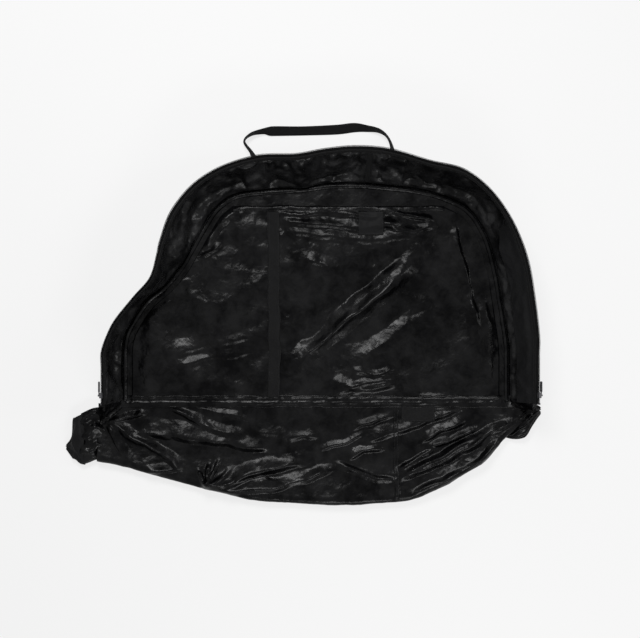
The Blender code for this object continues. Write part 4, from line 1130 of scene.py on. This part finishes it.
# %% [markdown]
# ## The rim
#
# Round the rim runs one half of the long zip: a woven tape outside the cloth and the nylon coil
# on its free edge. Inside, a band is bound over the raw edge. Its section is a short run of
# places up and over the wall's edge, and its lower edge puckers between the stitches.

# %% Zip tape and bound edge
RIM_AT = np.linspace(0, SEAM_LENGTH, 420)
TAPE_OFF, TAPE_PROUD, INNER_OFF = 0.0031, 0.008, -0.0012
WRAP_UPS = (TAPE_LOW, 0.1085, 0.111, 0.1135, 0.1152, 0.1160, 0.1160, 0.1152)
WRAP_OFFS = (INNER_OFF, -0.0016, -0.0016, -0.0016, -0.0013, -0.0002, 0.0014, 0.0024)
PUCKER, PUCKER_PITCH = 0.0003 * np.array([1, 0.6, 0, 0, 0, 0, 0, 0]), 0.0024


def rippled(points, size, seed, height):
    """A grid of points that rise and sink a little."""
    shift = swell(points.reshape(-1, 3), size, seed).reshape(points.shape[:2]) * height
    return points + UP * shift[..., None]


points, cut = wall_grid(RIM_AT, np.linspace(TAPE_LOW, GUSSET_WIDTH + TAPE_PROUD, 7), TAPE_OFF)
zip_tape = grid_piece("zip_tape", rippled(points, 0.03, 5, 0.0004), cut, TAPE)
dress(thicken(zip_tape, 0.0009, 0.0), "back_half", "webbing", "back_zip_tape",
      flat=(TAPE_LAP + TAPE_PROUD, SEAM_LENGTH), held="hung", rests_on=["gusset_left_cloth"])
points = np.stack([on_wall(RIM_AT, up, off) for up, off in zip(WRAP_UPS, WRAP_OFFS)], 1)
facing = SEAM_FACE[np.searchsorted(SEAM_AT, RIM_AT).clip(max=len(SEAM) - 1)]
pucker = np.sin(RIM_AT / PUCKER_PITCH)[:, None] * PUCKER
points += facing[:, None] * pucker[..., None]
cut = grid_of(RIM_AT, np.linspace(0, 0.014, len(WRAP_UPS)))
rim_band = thicken(grid_piece("rim_band", points, cut, TAPE), 0.0008, 0.0)
dress(rim_band, "back_half", "webbing", "rim_binding",
      flat=(0.014, SEAM_LENGTH), held="stretched", rests_on=["gusset_left_cloth"])

# %% [markdown]
# ## The tape over the joint, and the smooth flap
#
# Where the two lengths of side cloth meet, a tape runs up the wall inside. On the right a wide
# smooth flap of the outer cloth is sewn in under the rim and hangs inwards. It keeps the load off
# the zip. Its free edge is slack, so the crinkles grow from its seam towards that edge.

# %% Joint tape and flap
JOINT_HALF, JOINT_FOOT = 0.007, 0.004
FLAP_TOP_CORNER, FLAP_DROP, FLAP_WAVE = (0.468, 0.1992), 0.016, 0.004
ups = np.linspace(JOINT_FOOT, TAPE_LOW - 0.0006, 30)
points, cut = wall_grid(np.linspace(JOINT_AT - JOINT_HALF, JOINT_AT + JOINT_HALF, 5), ups,
                        INNER_OFF)
joint_tape = thicken(grid_piece("joint_tape", points, cut, TAPE), 0.0009, 0.0)
dress(joint_tape, "back_half", "webbing", "gusset_joint_tape",
      flat=(JOINT_HALF * 2, 0.103), held="hung", rests_on=["gusset_left_cloth"])
flap_start = SEAM_AT[np.argmin(np.linalg.norm(SEAM[:, :2] - FLAP_TOP_CORNER, axis=1))]
flap_at = np.linspace(flap_start, SEAM_LENGTH - 0.002, 90)
at, share = np.moveaxis(grid_of(flap_at, np.linspace(0, 1, 15)), -1, 0)
drop = (1 - share) * (FLAP_DROP + FLAP_WAVE * np.sin(at / 0.035)) * ease(at - flap_start, 0.0, 0.05)
points = on_wall(at, TAPE_LOW - FLAP_WIDTH * (1 - share), -0.0013 - drop)
cut = np.stack([at, share * FLAP_WIDTH], -1)
storm_flap_cloth = refine(grid_piece("storm_flap_cloth", points, cut, MATTE), 1)
loose = 1 - ease(flat_places(storm_flap_cloth)[:, 1], 0.03, 0.046)
crinkle(storm_flap_cloth, ((0.080, 0.0130), (0.030, 0.0035), (0.012, 0.0008)), 61, loose)
thicken(storm_flap_cloth, 0.0008, 0.0)
dress(storm_flap_cloth, "back_half", "matte_cloth", "storm_flap",
      flat=(FLAP_WIDTH, flap_at[-1] - flap_start), held="hung", rests_on=["rim_band"])

# %% [markdown]
# ## The zip's coil
#
# A nylon zip is a long coil sewn to the tape's edge. One turn of it is a small flattened ring,
# modelled once with few faces, because it is copied some eight hundred times along the rim. The
# torus is flattened and tilted in edit mode, so that the object itself stays unscaled.

# %% One turn of the coil
TURN_RADIUS, NYLON_RADIUS, COIL_PITCH = 0.0019, 0.00048, 0.0023
TURN_FLATNESS, TURN_TILT = 0.55, 0.30


def shape_of(piece):
    """The points and faces of a small modelled shape, whose object then goes."""
    shape = places(piece), [tuple(face.vertices) for face in piece.data.polygons]
    bpy.data.objects.remove(piece, do_unlink=True)
    return shape


def copied(name, shape, spots, finish):
    """One mesh with a copy of a small shape at each spot: its centre and its three axes."""
    points, faces = shape
    every = [tuple(i + k * len(points) for i in face) for k in range(len(spots)) for face in faces]
    placed = np.concatenate([centre + points @ np.array(axes) for centre, axes in spots])
    return mesh_piece(name, placed, every, placed[:, :2], finish)


bpy.ops.object.select_all(action="DESELECT")
bpy.ops.mesh.primitive_torus_add(major_segments=9, minor_segments=4, major_radius=TURN_RADIUS,
                                 minor_radius=NYLON_RADIUS)
bpy.ops.object.mode_set(mode="EDIT")
bpy.ops.mesh.select_all(action="SELECT")
bpy.ops.transform.resize(value=(1.0, TURN_FLATNESS, 1.0))
bpy.ops.transform.rotate(value=TURN_TILT, orient_axis="Y", center_override=(0, 0, 0))
bpy.ops.object.mode_set(mode="OBJECT")
TURN = shape_of(bpy.context.object)
print("one turn of the coil", len(TURN[1]), "faces")

# %% [markdown]
# ## The coil round the rim
#
# Each turn stands on the tape's edge. Its own frame has one axis along the coil and one up the
# wall, and that one is made square to the first, so that the turns lean as the wall leans.

# %% Zip coil
COIL_UP, COIL_AIM = GUSSET_WIDTH + 0.0105, GUSSET_WIDTH + 0.0205
COIL_FROM_END = 0.0048
coil_at = np.linspace(COIL_FROM_END, SEAM_LENGTH - COIL_FROM_END, 900)
rows, _ = spaced(on_wall(coil_at, COIL_UP, TAPE_OFF), COIL_PITCH)
above = on_wall(coil_at, COIL_AIM, TAPE_OFF)
above = above[np.linspace(0, len(above) - 1, len(rows)).round().astype(int)]
spots = []
for centre, ahead, high in zip(rows, unit(np.gradient(rows, axis=0)), above):
    across = high - centre
    across = unit(across - ahead * across.dot(ahead))
    spots.append((centre, (across, np.cross(ahead, across), ahead)))
dress(copied("zip_teeth", TURN, spots, COIL), "back_half", "zip_nylon", "back_zip_coil")
print(len(spots), "turns")

# %% [markdown]
# ## The handle's patches
#
# The handle is sewn to the wall through two square patches of webbing on its outer face. They
# are laid out in the wall's own three numbers, so they lean and curve with it.

# %% Patches
PATCH_HALF, PATCH_LOW, PATCH_HIGH = 0.020, 0.0354, 0.0774


def patch_on_wall(name, x, replaced):
    """A square of webbing on the wall's outer face, under the handle's end."""
    at = np.linspace(at_x(x - PATCH_HALF), at_x(x + PATCH_HALF), 12)
    points, cut = wall_grid(at, np.linspace(PATCH_LOW, PATCH_HIGH, 12), TAPE_OFF)
    piece = thicken(grid_piece(name, points, cut, WEBBING), 0.0013, 0.0)
    dress(piece, "back_half", "webbing", replaced, flat=(0.040, 0.042), held="stretched",
          rests_on=["gusset_left_cloth"])


patch_on_wall("patch_left", HANDLE_X[0], "handle_patch_left")
patch_on_wall("patch_right", HANDLE_X[1], "handle_patch_right")

# %% [markdown]
# ## The handle
#
# The webbing leaves its two patches, twists, falls to the surface behind the tray and lies there.
# Where it twists it is folded lengthways, so it looks narrower. Each row of its route says how
# far it is from the first patch to the second, how far out and how high it runs, both in shares,
# its roll in degrees and how much of its width shows. Its weave runs along it.

# %% Handle webbing
HANDLE_REACH, HANDLE_WIDTH, HANDLE_THICK, HANDLE_LOWEST = 0.1097, 0.025, 0.0014, 0.0011
HANDLE_UP, HANDLE_OFF, NARROWEST = 0.49 * GUSSET_WIDTH, 0.0078, 0.4
HANDLE_ROUTE = (
    (0.00, 0.00, 1.00, 0, 1.0), (0.00, 0.25, 0.80, 5, 0.8), (-0.03, 0.51, 0.50, 40, 0.45),
    (-0.08, 0.78, 0.31, 60, 0.40), (-0.03, 0.95, 0.21, 30, 0.42), (0.06, 1.02, 0.08, 0, 0.60),
    (0.11, 1.02, 0.03, 0, 0.95), (0.16, 1.02, 0.00, 0, 1.0), (0.36, 1.00, 0.00, 0, 0.94),
    (0.60, 1.00, 0.00, 0, 1.0), (0.73, 1.03, 0.00, 0, 0.96), (0.82, 1.00, 0.00, 0, 0.72),
    (0.91, 0.93, 0.13, 15, 0.50), (0.97, 0.77, 0.29, 50, 0.42), (1.00, 0.52, 0.45, 40, 0.45),
    (1.00, 0.25, 0.80, 5, 0.8), (1.00, 0.00, 1.00, 0, 1.0),
)
first, second = on_wall(np.array(HANDLE_AT), HANDLE_UP, HANDLE_OFF)
between = second - first
outward = np.array([-between[1], between[0], 0]) / np.linalg.norm(between[:2])
rows = []
for share, reach, height, roll_angle, wide in HANDLE_ROUTE:
    point = first + between * share + outward * (reach * HANDLE_REACH - 0.0006)
    z = HANDLE_LOWEST + (point[2] - HANDLE_LOWEST) * height
    rows.append((*point[:2], z, roll_angle * DEGREE, wide))
run = smooth_run(rows, 12)
middle = np.column_stack([run[:, :2], np.maximum(run[:, 2], HANDLE_LOWEST)])
ahead = unit(np.gradient(middle, axis=0))
level = unit(np.cross(ahead, UP))
width = level * np.cos(run[:, 3:4]) + np.cross(level, ahead) * np.sin(run[:, 3:4])
width *= np.clip(run[:, 4:5], NARROWEST, 1.0)
sides = np.linspace(-0.5, 0.5, 6) * HANDLE_WIDTH
points = middle[:, None] + width[:, None] * sides[None, :, None]
handle_at = distance_along(middle)
handle_strap = grid_piece("handle_strap", points, grid_of(handle_at, sides), WEBBING)
dress(thicken(handle_strap, HANDLE_THICK, 0.0), "handle", "webbing", "handle_webbing",
      flat=(HANDLE_WIDTH, handle_at[-1]), held="hung", rests_on=["patch_left"])
print("handle", round(handle_at[-1], 3), "m long")

# %% [markdown]
# ## The bunched corners
#
# At each end the base's spare cloth is gathered and stitched down in a bunch. A bunch is a closed
# form of rings, one for each step along x. The rows give its back and front edge in y and its
# height. Each ring is a low arch whose upper side goes in and out with the pleats, and the pleats
# swing sideways from ring to ring, so that they run along the bunch without being parallel.


# %% Closed forms from rings
def ring_faces(rings, count):
    """The faces between neighbouring rings of this many points."""
    faces = []
    for i in range(rings - 1):
        for j in range(count):
            k = (j + 1) % count
            faces.append((i * count + j, i * count + k, (i + 1) * count + k, (i + 1) * count + j))
    return faces


def outwards(piece):
    """Turns every face of a closed piece outwards."""
    mesh = bmesh.new()
    mesh.from_mesh(piece.data)
    bmesh.ops.recalc_face_normals(mesh, faces=mesh.faces)
    mesh.to_mesh(piece.data)
    mesh.free()
    return piece


# %% Bunches
BUNCH_TURNS = np.linspace(0, 2 * math.pi, 84, endpoint=False)
BUNCH_LOWEST, BUNCH_CUT = 0.0006, (0.05, 0.02)


def bunch_ring(row, share, pleats, depth, seed):
    """One ring of a bunch at this share of its length."""
    x, back_y, front_y, height = row
    turns = BUNCH_TURNS
    swing = 0.5 * np.sin(3 * share * math.pi + turns * 2 + seed)
    wave = np.sin(turns * pleats + swing * 2 + seed)
    wave += 0.45 * np.sin(turns * (pleats * 2 + 1) + share * 5)
    out = 1 - depth * (1 - wave) / 2
    ring_x = x + 0.0030 * np.sin(turns * pleats + seed + share * 4)
    ring_y = (back_y + front_y) / 2 + (back_y - front_y) / 2 * np.cos(turns)
    ring_z = height / 2 * (1 + out * np.sin(turns))
    return np.stack([ring_x, ring_y, np.maximum(ring_z, BUNCH_LOWEST)], 1)


def bunch(name, rows, pleats, depth, seed, finish):
    """A pleated bunch of cloth through rows of x, its two edges in y, and height."""
    run = smooth_run(rows, 7)
    shares = np.arange(len(run)) / (len(run) - 1)
    rings = np.array([bunch_ring(row, share, pleats, depth, seed)
                      for row, share in zip(run, shares)])
    count = len(BUNCH_TURNS)
    faces = ring_faces(len(rings), count)
    first, last = len(rings) * count, (len(rings) - 1) * count
    for j in range(count):
        k = (j + 1) % count
        faces += [(first, k, j), (first + 1, last + j, last + k)]
    points = np.concatenate([rings.reshape(-1, 3), rings[[0, -1]].mean(1)])
    cut = grid_of(np.linspace(0, BUNCH_CUT[0], len(rings)), BUNCH_TURNS * BUNCH_CUT[1])
    cut = np.concatenate([cut.reshape(-1, 2), np.zeros((2, 2))])
    return outwards(mesh_piece(name, points, faces, cut, finish))


corner_left_cloth = bunch("corner_left_cloth", (
    (-0.503, -0.240, -0.372, 0.013), (-0.516, -0.238, -0.371, 0.024),
    (-0.530, -0.239, -0.372, 0.031), (-0.546, -0.246, -0.378, 0.032),
    (-0.562, -0.254, -0.383, 0.028),
), 9, 0.55, 1.0, GLOSSY)
end_patch_cloth = bunch("end_patch_cloth", (
    (-0.556, -0.252, -0.384, 0.026), (-0.566, -0.257, -0.381, 0.031),
    (-0.576, -0.263, -0.371, 0.029), (-0.583, -0.270, -0.368, 0.025),
    (-0.587, -0.312, -0.364, 0.018), (-0.602, -0.334, -0.345, 0.008),
), 4, 0.30, 2.2, MATTE)
corner_right_cloth = bunch("corner_right_cloth", (
    (0.512, -0.298, -0.314, 0.010), (0.530, -0.282, -0.319, 0.020),
    (0.547, -0.246, -0.318, 0.029), (0.562, -0.232, -0.311, 0.034),
    (0.576, -0.230, -0.288, 0.032), (0.590, -0.231, -0.268, 0.025),
    (0.601, -0.238, -0.256, 0.012),
), 8, 0.50, 0.4, GLOSSY)
for piece, slot, replaced in (
    (corner_left_cloth, "glossy_cloth", "corner_gather_left"),
    (end_patch_cloth, "matte_cloth", "end_patch_left"),
    (corner_right_cloth, "glossy_cloth", "corner_gather_right"),
):
    dress(piece, "bag_base", slot, replaced)

# %% [markdown]
# ## The front half, folded away beneath
#
# Its panel lies under the base and the tray with its lining side down, and its own short walls
# are folded in under it. Only its edge can be seen, from low down, but every layer is there. Its
# seam is the tray's own, moved forward and cut off where the panel ends.

# %% The front half's walls and zip
FRONT_SHIFT, FRONT_END = -0.242, -0.590 * HALF_DEPTH
FRONT_WALL, FRONT_TAPE_WIDTH = 0.055, 0.013
chosen = SEAM[:, 1] + FRONT_SHIFT > FRONT_END
front_rows = SEAM[chosen, :3] * (1, 1, 0) + (0, FRONT_SHIFT, 0)
front_out = SEAM_OUT[chosen]
front_at = distance_along(front_rows)


def front_band(name, outs, height, finish, thick, wave=0.0):
    """A flat band along the front half's seam, through these distances outside it."""
    points = front_rows[:, None] + front_out[:, None] * outs[None, :, None] + UP * height
    cut = grid_of(front_at, np.append(0, np.cumsum(np.abs(np.diff(outs)))))
    return thicken(grid_piece(name, rippled(points, 0.05, 71, wave), cut, finish), thick, 0.0)


front_gusset_cloth = front_band("front_gusset_cloth", np.linspace(-0.003, -0.003 - FRONT_WALL, 8),
                                0.0011, GLOSSY, 0.0005, 0.0004)
dress(front_gusset_cloth, "front_half", "glossy_cloth", "front_gusset",
      flat=(FRONT_WALL, front_at[-1]), held="folded", rests_on=["front_panel_cloth"])
front_tape = front_band("front_tape", np.linspace(-0.0583, -0.0583 - FRONT_TAPE_WIDTH, 4), 0.0009,
                        TAPE, 0.0009)
dress(front_tape, "front_half", "webbing", "front_zip_tape",
      flat=(FRONT_TAPE_WIDTH, front_at[-1]), held="folded", rests_on=["front_gusset_cloth"])
rows, _ = spaced(front_rows + front_out * -0.0738 + UP * 0.0012, COIL_PITCH)
lying_turn = TURN[0] * (1, 0.75, 1), TURN[1]
spots = [(centre, (np.cross(ahead, UP), UP, ahead))
         for centre, ahead in zip(rows, unit(np.gradient(rows, axis=0)))]
dress(copied("front_teeth", lying_turn, spots, COIL), "front_half", "zip_nylon", "front_zip_coil")

# %% [markdown]
# ## The piping
#
# A cord wrapped in tape is sewn in round both panels. It is a closed tube along the seam, a
# little flattened on the tray because the bag lies on it.


# %% Piping
def tube(name, centres, radii, sides):
    """A closed tube along a run of centres, with its two radii: level and upright."""
    level = np.cross(unit(np.gradient(centres, axis=0)), UP)
    turns = np.linspace(0, 2 * math.pi, sides, endpoint=False)
    ring = level[:, None] * (np.cos(turns) * radii[0])[None, :, None]
    ring = ring + UP * (np.sin(turns) * radii[1])[None, :, None] + centres[:, None]
    last = (len(centres) - 1) * sides
    faces = [tuple(reversed(range(sides))), tuple(range(last, last + sides))]
    faces += ring_faces(len(centres), sides)
    cut = grid_of(distance_along(centres), turns * radii[0]).reshape(-1, 2)
    return outwards(mesh_piece(name, ring.reshape(-1, 3), faces, cut, TAPE))


front_piping_cord = tube("front_piping_cord", front_rows + front_out * 0.0022 + UP * 0.0036,
                         (0.0019, 0.0019), 8)
dress(front_piping_cord, "front_half", "webbing", "front_piping")
piping_cord = tube("piping_cord", SEAM[:, :3] * (1, 1, 0) + UP * 0.0033, (0.0040, 0.0032), 10)
dress(piping_cord, "back_half", "webbing", "back_piping")

# %% [markdown]
# ## The front panel
#
# The panel reaches back to its own seam and forward to just behind the roll, where the base's
# cloth turns under. Like the tray's floor it is a grid in columns.

# %% Front panel
PANEL_Z, PANEL_IN, PANEL_COLUMNS, PANEL_ROWS, BEHIND_ROLL = 0.0036, 0.004, 60, 24, 0.012
peak = int(np.argmax(front_rows[:, 1]))
panel_sides = front_rows[:peak + 1], front_rows[peak:]
roll_order = np.argsort(roll[:, 0])
panel_left, panel_right = front_rows[0, 0], front_rows[-1, 0]
columns = []
for share in np.linspace(0, 1, PANEL_COLUMNS):
    x = panel_left + PANEL_IN + (panel_right - panel_left - 2 * PANEL_IN) * share
    upper_edge = panel_sides[0] if x < front_rows[peak, 0] else panel_sides[1]
    top = np.interp(x, upper_edge[:, 0], upper_edge[:, 1])
    bottom = np.interp(x, roll[roll_order, 0], roll[roll_order, 1]) + BEHIND_ROLL
    y = np.linspace(bottom, top, PANEL_ROWS)
    columns.append(np.stack([np.full(PANEL_ROWS, x), y, np.full(PANEL_ROWS, PANEL_Z)], 1))
points = np.array(columns)
front_panel_cloth = grid_piece("front_panel_cloth", points, points[..., :2], MATTE)
crinkle(front_panel_cloth, ((0.09, 0.0008),), 83)
dress(thicken(front_panel_cloth, 0.0009, 0.0), "front_half", "matte_cloth", "front_panel",
      flat=(1.01, 0.55), area=0.42, held="folded", rests_on=["front_gusset_cloth"])

# %% [markdown]
# ## One stitch
#
# Every tape and patch is held by rows of stitches. One stitch is a short rounded thread, a
# sphere of few faces that is squeezed in edit mode. It is copied along each row, just proud of
# what it holds.

# %% One stitch
STITCH_HALF_SIZES, STITCH_PITCH = (0.00135, 0.00034, 0.00030), 0.0040
bpy.ops.object.select_all(action="DESELECT")
bpy.ops.mesh.primitive_uv_sphere_add(segments=6, ring_count=4, radius=1)
bpy.ops.object.mode_set(mode="EDIT")
bpy.ops.mesh.select_all(action="SELECT")
bpy.ops.transform.resize(value=STITCH_HALF_SIZES)
bpy.ops.object.mode_set(mode="OBJECT")
STITCH = shape_of(bpy.context.object)
print("one stitch", len(STITCH[1]), "faces")

# %% [markdown]
# ## Rows of stitches
#
# A row is spaced along a line. On the sleeve, the floor and the base the line is drawn in plan
# and dropped on the finished piece. On the walls it is drawn in the wall's own numbers, and the
# patches get a square with a cross in it, as a load-bearing seam has.


# %% Rows of stitches
LINE_STEP, STITCH_LIFT, TRIM_INSET, PATCH_INSET = 0.002, 0.0001, 0.003, 0.004
STRAP_ROW, CROSS_SEAM_ROW, RIM_ROW_UP, RIM_ROW_OFF = 0.0115, 0.004, 0.1092, -0.0024
FLOOR_ROW, HEM_ROW, HINGE_ROW, HINGE_ROW_X = 0.0045, 0.0025, 0.0095, (-0.450, 0.512)
ROW_FROM_END, PATCH_ROW_OFF, PATCH_ROW_BEHIND = 0.004, 0.0040, -1.0


def row_of_stitches(points, facing):
    """Spots for stitches along a run of points, with the direction that the row faces."""
    both = np.concatenate([points, np.broadcast_to(facing, points.shape)], 1)
    gone = distance_along(points)
    at = np.arange(STITCH_PITCH / 2, gone[-1], STITCH_PITCH)
    both = np.stack([np.interp(at, gone, column) for column in both.T], 1)
    ahead = np.gradient(both[:, :3], axis=0)
    spots = []
    for place, forward, face in zip(both[:, :3], ahead, both[:, 3:]):
        forward = unit(forward)
        side = unit(np.cross(face, forward))
        spots.append((place, (forward, side, np.cross(forward, side))))
    return spots


def sewn_down(corners, piece):
    """Stitches along a line in plan, on top of a piece."""
    line, _ = spaced(at_ground(corners), LINE_STEP)
    line[:, 2] = height_on(surface_of(piece), line[:, :2]) + STITCH_LIFT
    return row_of_stitches(line, UP)


def sewn_across(x_range, y, piece):
    """Stitches straight from left to right."""
    return sewn_down([(x_range[0], y), (x_range[1], y)], piece)


def sewn_along(x, y_range, piece):
    """Stitches straight from front to back."""
    return sewn_down([(x, y_range[0]), (x, y_range[1])], piece)


def around(x_range, y_range, inset):
    """The corners of a rectangle, taken in from its edges, back to the first."""
    x, y = [(low + inset, high - inset) for low, high in (x_range, y_range)]
    return [(x[0], y[0]), (x[1], y[0]), (x[1], y[1]), (x[0], y[1]), (x[0], y[0])]


inwards = on_wall(RIM_AT, 0, 0) - on_wall(RIM_AT, 0, 1)
spots = sewn_down(SEAM[:, :2] - SEAM_OUT[:, :2] * FLOOR_ROW, floor_binding)
spots += sewn_across((MOUTH[0] + ROW_FROM_END, MOUTH[1] - ROW_FROM_END), EDGE + HEM_ROW,
                     pocket_binding)
for side in (-STRAP_ROW, STRAP_ROW):
    spots += sewn_along(STRAP_X + side, (POCKET_FRONT + ROW_FROM_END, EDGE - ROW_FROM_END),
                        centre_strap)
spots += sewn_down(around(SQUARE_X, (SQUARE_Y[0], EDGE), TRIM_INSET), bare_patch)
spots += sewn_across(HINGE_ROW_X, BASE_Y + HINGE_ROW, hinge_binding)
spots += row_of_stitches(on_wall(RIM_AT, RIM_ROW_UP, RIM_ROW_OFF), inwards)
for x in HANDLE_X:
    patch_at = at_x(x - PATCH_HALF), at_x(x + PATCH_HALF)
    corners = around(patch_at, (PATCH_LOW, PATCH_HIGH), PATCH_INSET)
    for line in (corners, [corners[0], corners[2]], [corners[1], corners[3]]):
        line, _ = spaced(at_ground(line), LINE_STEP)
        outer = on_wall(line[:, 0], line[:, 1], PATCH_ROW_OFF)
        behind = on_wall(line[:, 0], line[:, 1], PATCH_ROW_BEHIND)
        spots += row_of_stitches(outer, outer - behind)
dress(copied("stitches_back", STITCH, spots, THREAD), "back_half", "webbing")
spots = []
for side in (-CROSS_SEAM_ROW, CROSS_SEAM_ROW):
    spots += sewn_along(CROSS_SEAM_X + side, (-0.460, BASE_Y - 0.013), base_binding)
spots += sewn_down(around(TAB_X, TAB_Y, TRIM_INSET), tab)
stitches_base = copied("stitches_base", STITCH, spots, THREAD)
dress(stitches_base, "bag_base", "webbing")

# %% [markdown]
# ## The base's own meshes
#
# On the ground the base is slack. When it is turned up to close the bag, the cloth is pulled
# taut between the walls and lies nearly flat against their ends. Here the base and all that is
# sewn on it only get meshes of their own.

# %% Own meshes for the base
flattened = (base_cloth, base_binding, tab, stitches_base, corner_left_cloth, end_patch_cloth,
             corner_right_cloth)
for piece in flattened:
    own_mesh(piece)
print("flattens as the base turns up:", [piece.name for piece in flattened])

# %% [markdown]
# ## The pale ground
#
# The photograph looks straight down on a pale ground with nothing else on it. The ground and the
# world are pale for what the camera sees, directly, in a reflection or through something clear.
# To every other ray the world is nearly dark, so that paleness adds little light to the bag. The
# ground keeps a share of its plain paper, which takes the lamps' shadow.


# %% Ground and world
def seen_or_mirrored(tree):
    """1 for what the camera sees, directly, in a reflection or through something clear."""
    path = node(tree, "ShaderNodeLightPath").outputs
    either = node(tree, "ShaderNodeMath", {0: path["Is Camera Ray"], 1: path["Is Glossy Ray"]},
                  operation="MAXIMUM").outputs["Value"]
    return node(tree, "ShaderNodeMath", {0: either, 1: path["Is Transmission Ray"]},
                operation="MAXIMUM").outputs["Value"]


PALE = (0.93, 0.93, 0.93, 1)
GROUND_HALF, GLOW_SHARE, DIM_WORLD = 9, 0.82, 0.08
corners = [(x * GROUND_HALF, y * GROUND_HALF, 0) for x, y in ((-1, -1), (1, -1), (1, 1), (-1, 1))]
ground = mesh_piece("studio_floor", corners, [(0, 1, 2, 3)])
paper, tree, shader = new_finish("pale_paper", 1.0, Base_Color=PALE, Specular_IOR_Level=0.0)
glow = node(tree, "ShaderNodeEmission", {"Color": PALE})
share = node(tree, "ShaderNodeMath", {0: seen_or_mirrored(tree), 1: GLOW_SHARE},
             operation="MULTIPLY").outputs["Value"]
mixed = node(tree, "ShaderNodeMixShader", {0: share, 1: shader.outputs[0], 2: glow.outputs[0]})
tree.links.new(mixed.outputs[0], tree.nodes["Material Output"].inputs["Surface"])
ground.data.materials.append(paper)
ground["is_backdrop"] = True

world = bpy.data.worlds.new("studio")
bpy.context.scene.world = world
world.use_nodes = True
tree = world.node_tree
dim = tree.nodes["Background"]
dim.inputs["Color"].default_value = (1, 1, 1, 1)
dim.inputs["Strength"].default_value = DIM_WORLD
bright = node(tree, "ShaderNodeBackground", {"Color": PALE, "Strength": 1.0})
mixed = node(tree, "ShaderNodeMixShader", {0: seen_or_mirrored(tree), 1: dim.outputs[0],
                                           2: bright.outputs[0]})
tree.links.new(mixed.outputs[0], tree.nodes["World Output"].inputs["Surface"])
print("ground", 2 * GROUND_HALF, "m wide, world strength", DIM_WORLD, "for the bag")

# %% [markdown]
# ## Lamps and camera
#
# Three wide soft lamps stand behind, in front and on the right, low enough to graze the folds.
# Their strength is a plain level: a mid-grey card on the ground renders at its own grey. The
# camera hangs straight over the bag, as in the photograph.


# %% Lamps and camera
def area_light(name, place, aim, size, power):
    """A soft rectangular lamp that faces a point."""
    data = bpy.data.lights.new(name, "AREA")
    data.shape, data.size, data.size_y = "RECTANGLE", size[0], size[1]
    data.energy = power
    lamp = bpy.data.objects.new(name, data)
    bpy.context.scene.collection.objects.link(lamp)
    lamp.location = place
    lamp.rotation_euler = (Vector(aim) - Vector(place)).to_track_quat("-Z", "Y").to_euler()
    lamp.visible_camera = False
    return lamp


CAMERA_PLACE, FILM_WIDTH, SEEN_WIDTH = (0.042, -0.014, 2.80), 36, 1.632
area_light("back_soft", (-0.4, 1.7, 2.3), (0.0, 0.0, 0.0), (1.4, 0.8), 65)
area_light("front_soft", (0.6, -2.2, 1.4), (0.0, -0.1, 0.0), (1.5, 0.45), 28)
area_light("right_soft", (2.4, 0.2, 1.5), (0.0, 0.0, 0.0), (0.55, 1.2), 18)

camera_data = bpy.data.cameras.new("camera")
camera_data.lens = FILM_WIDTH * CAMERA_PLACE[2] / SEEN_WIDTH
camera = bpy.data.objects.new("camera", camera_data)
camera.location = CAMERA_PLACE
bpy.context.scene.collection.objects.link(camera)
bpy.context.scene.camera = camera
bpy.context.scene.view_settings.view_transform = "Standard"
print("camera", tuple(camera.location), "lens", round(camera_data.lens, 1), "mm")

# %% [markdown]
# ## Sizes
#
# The box of all that was made is measured and printed.

# %% Sizes
low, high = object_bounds()
print("visual box", [round(v, 4) for v in (*low, *high)])
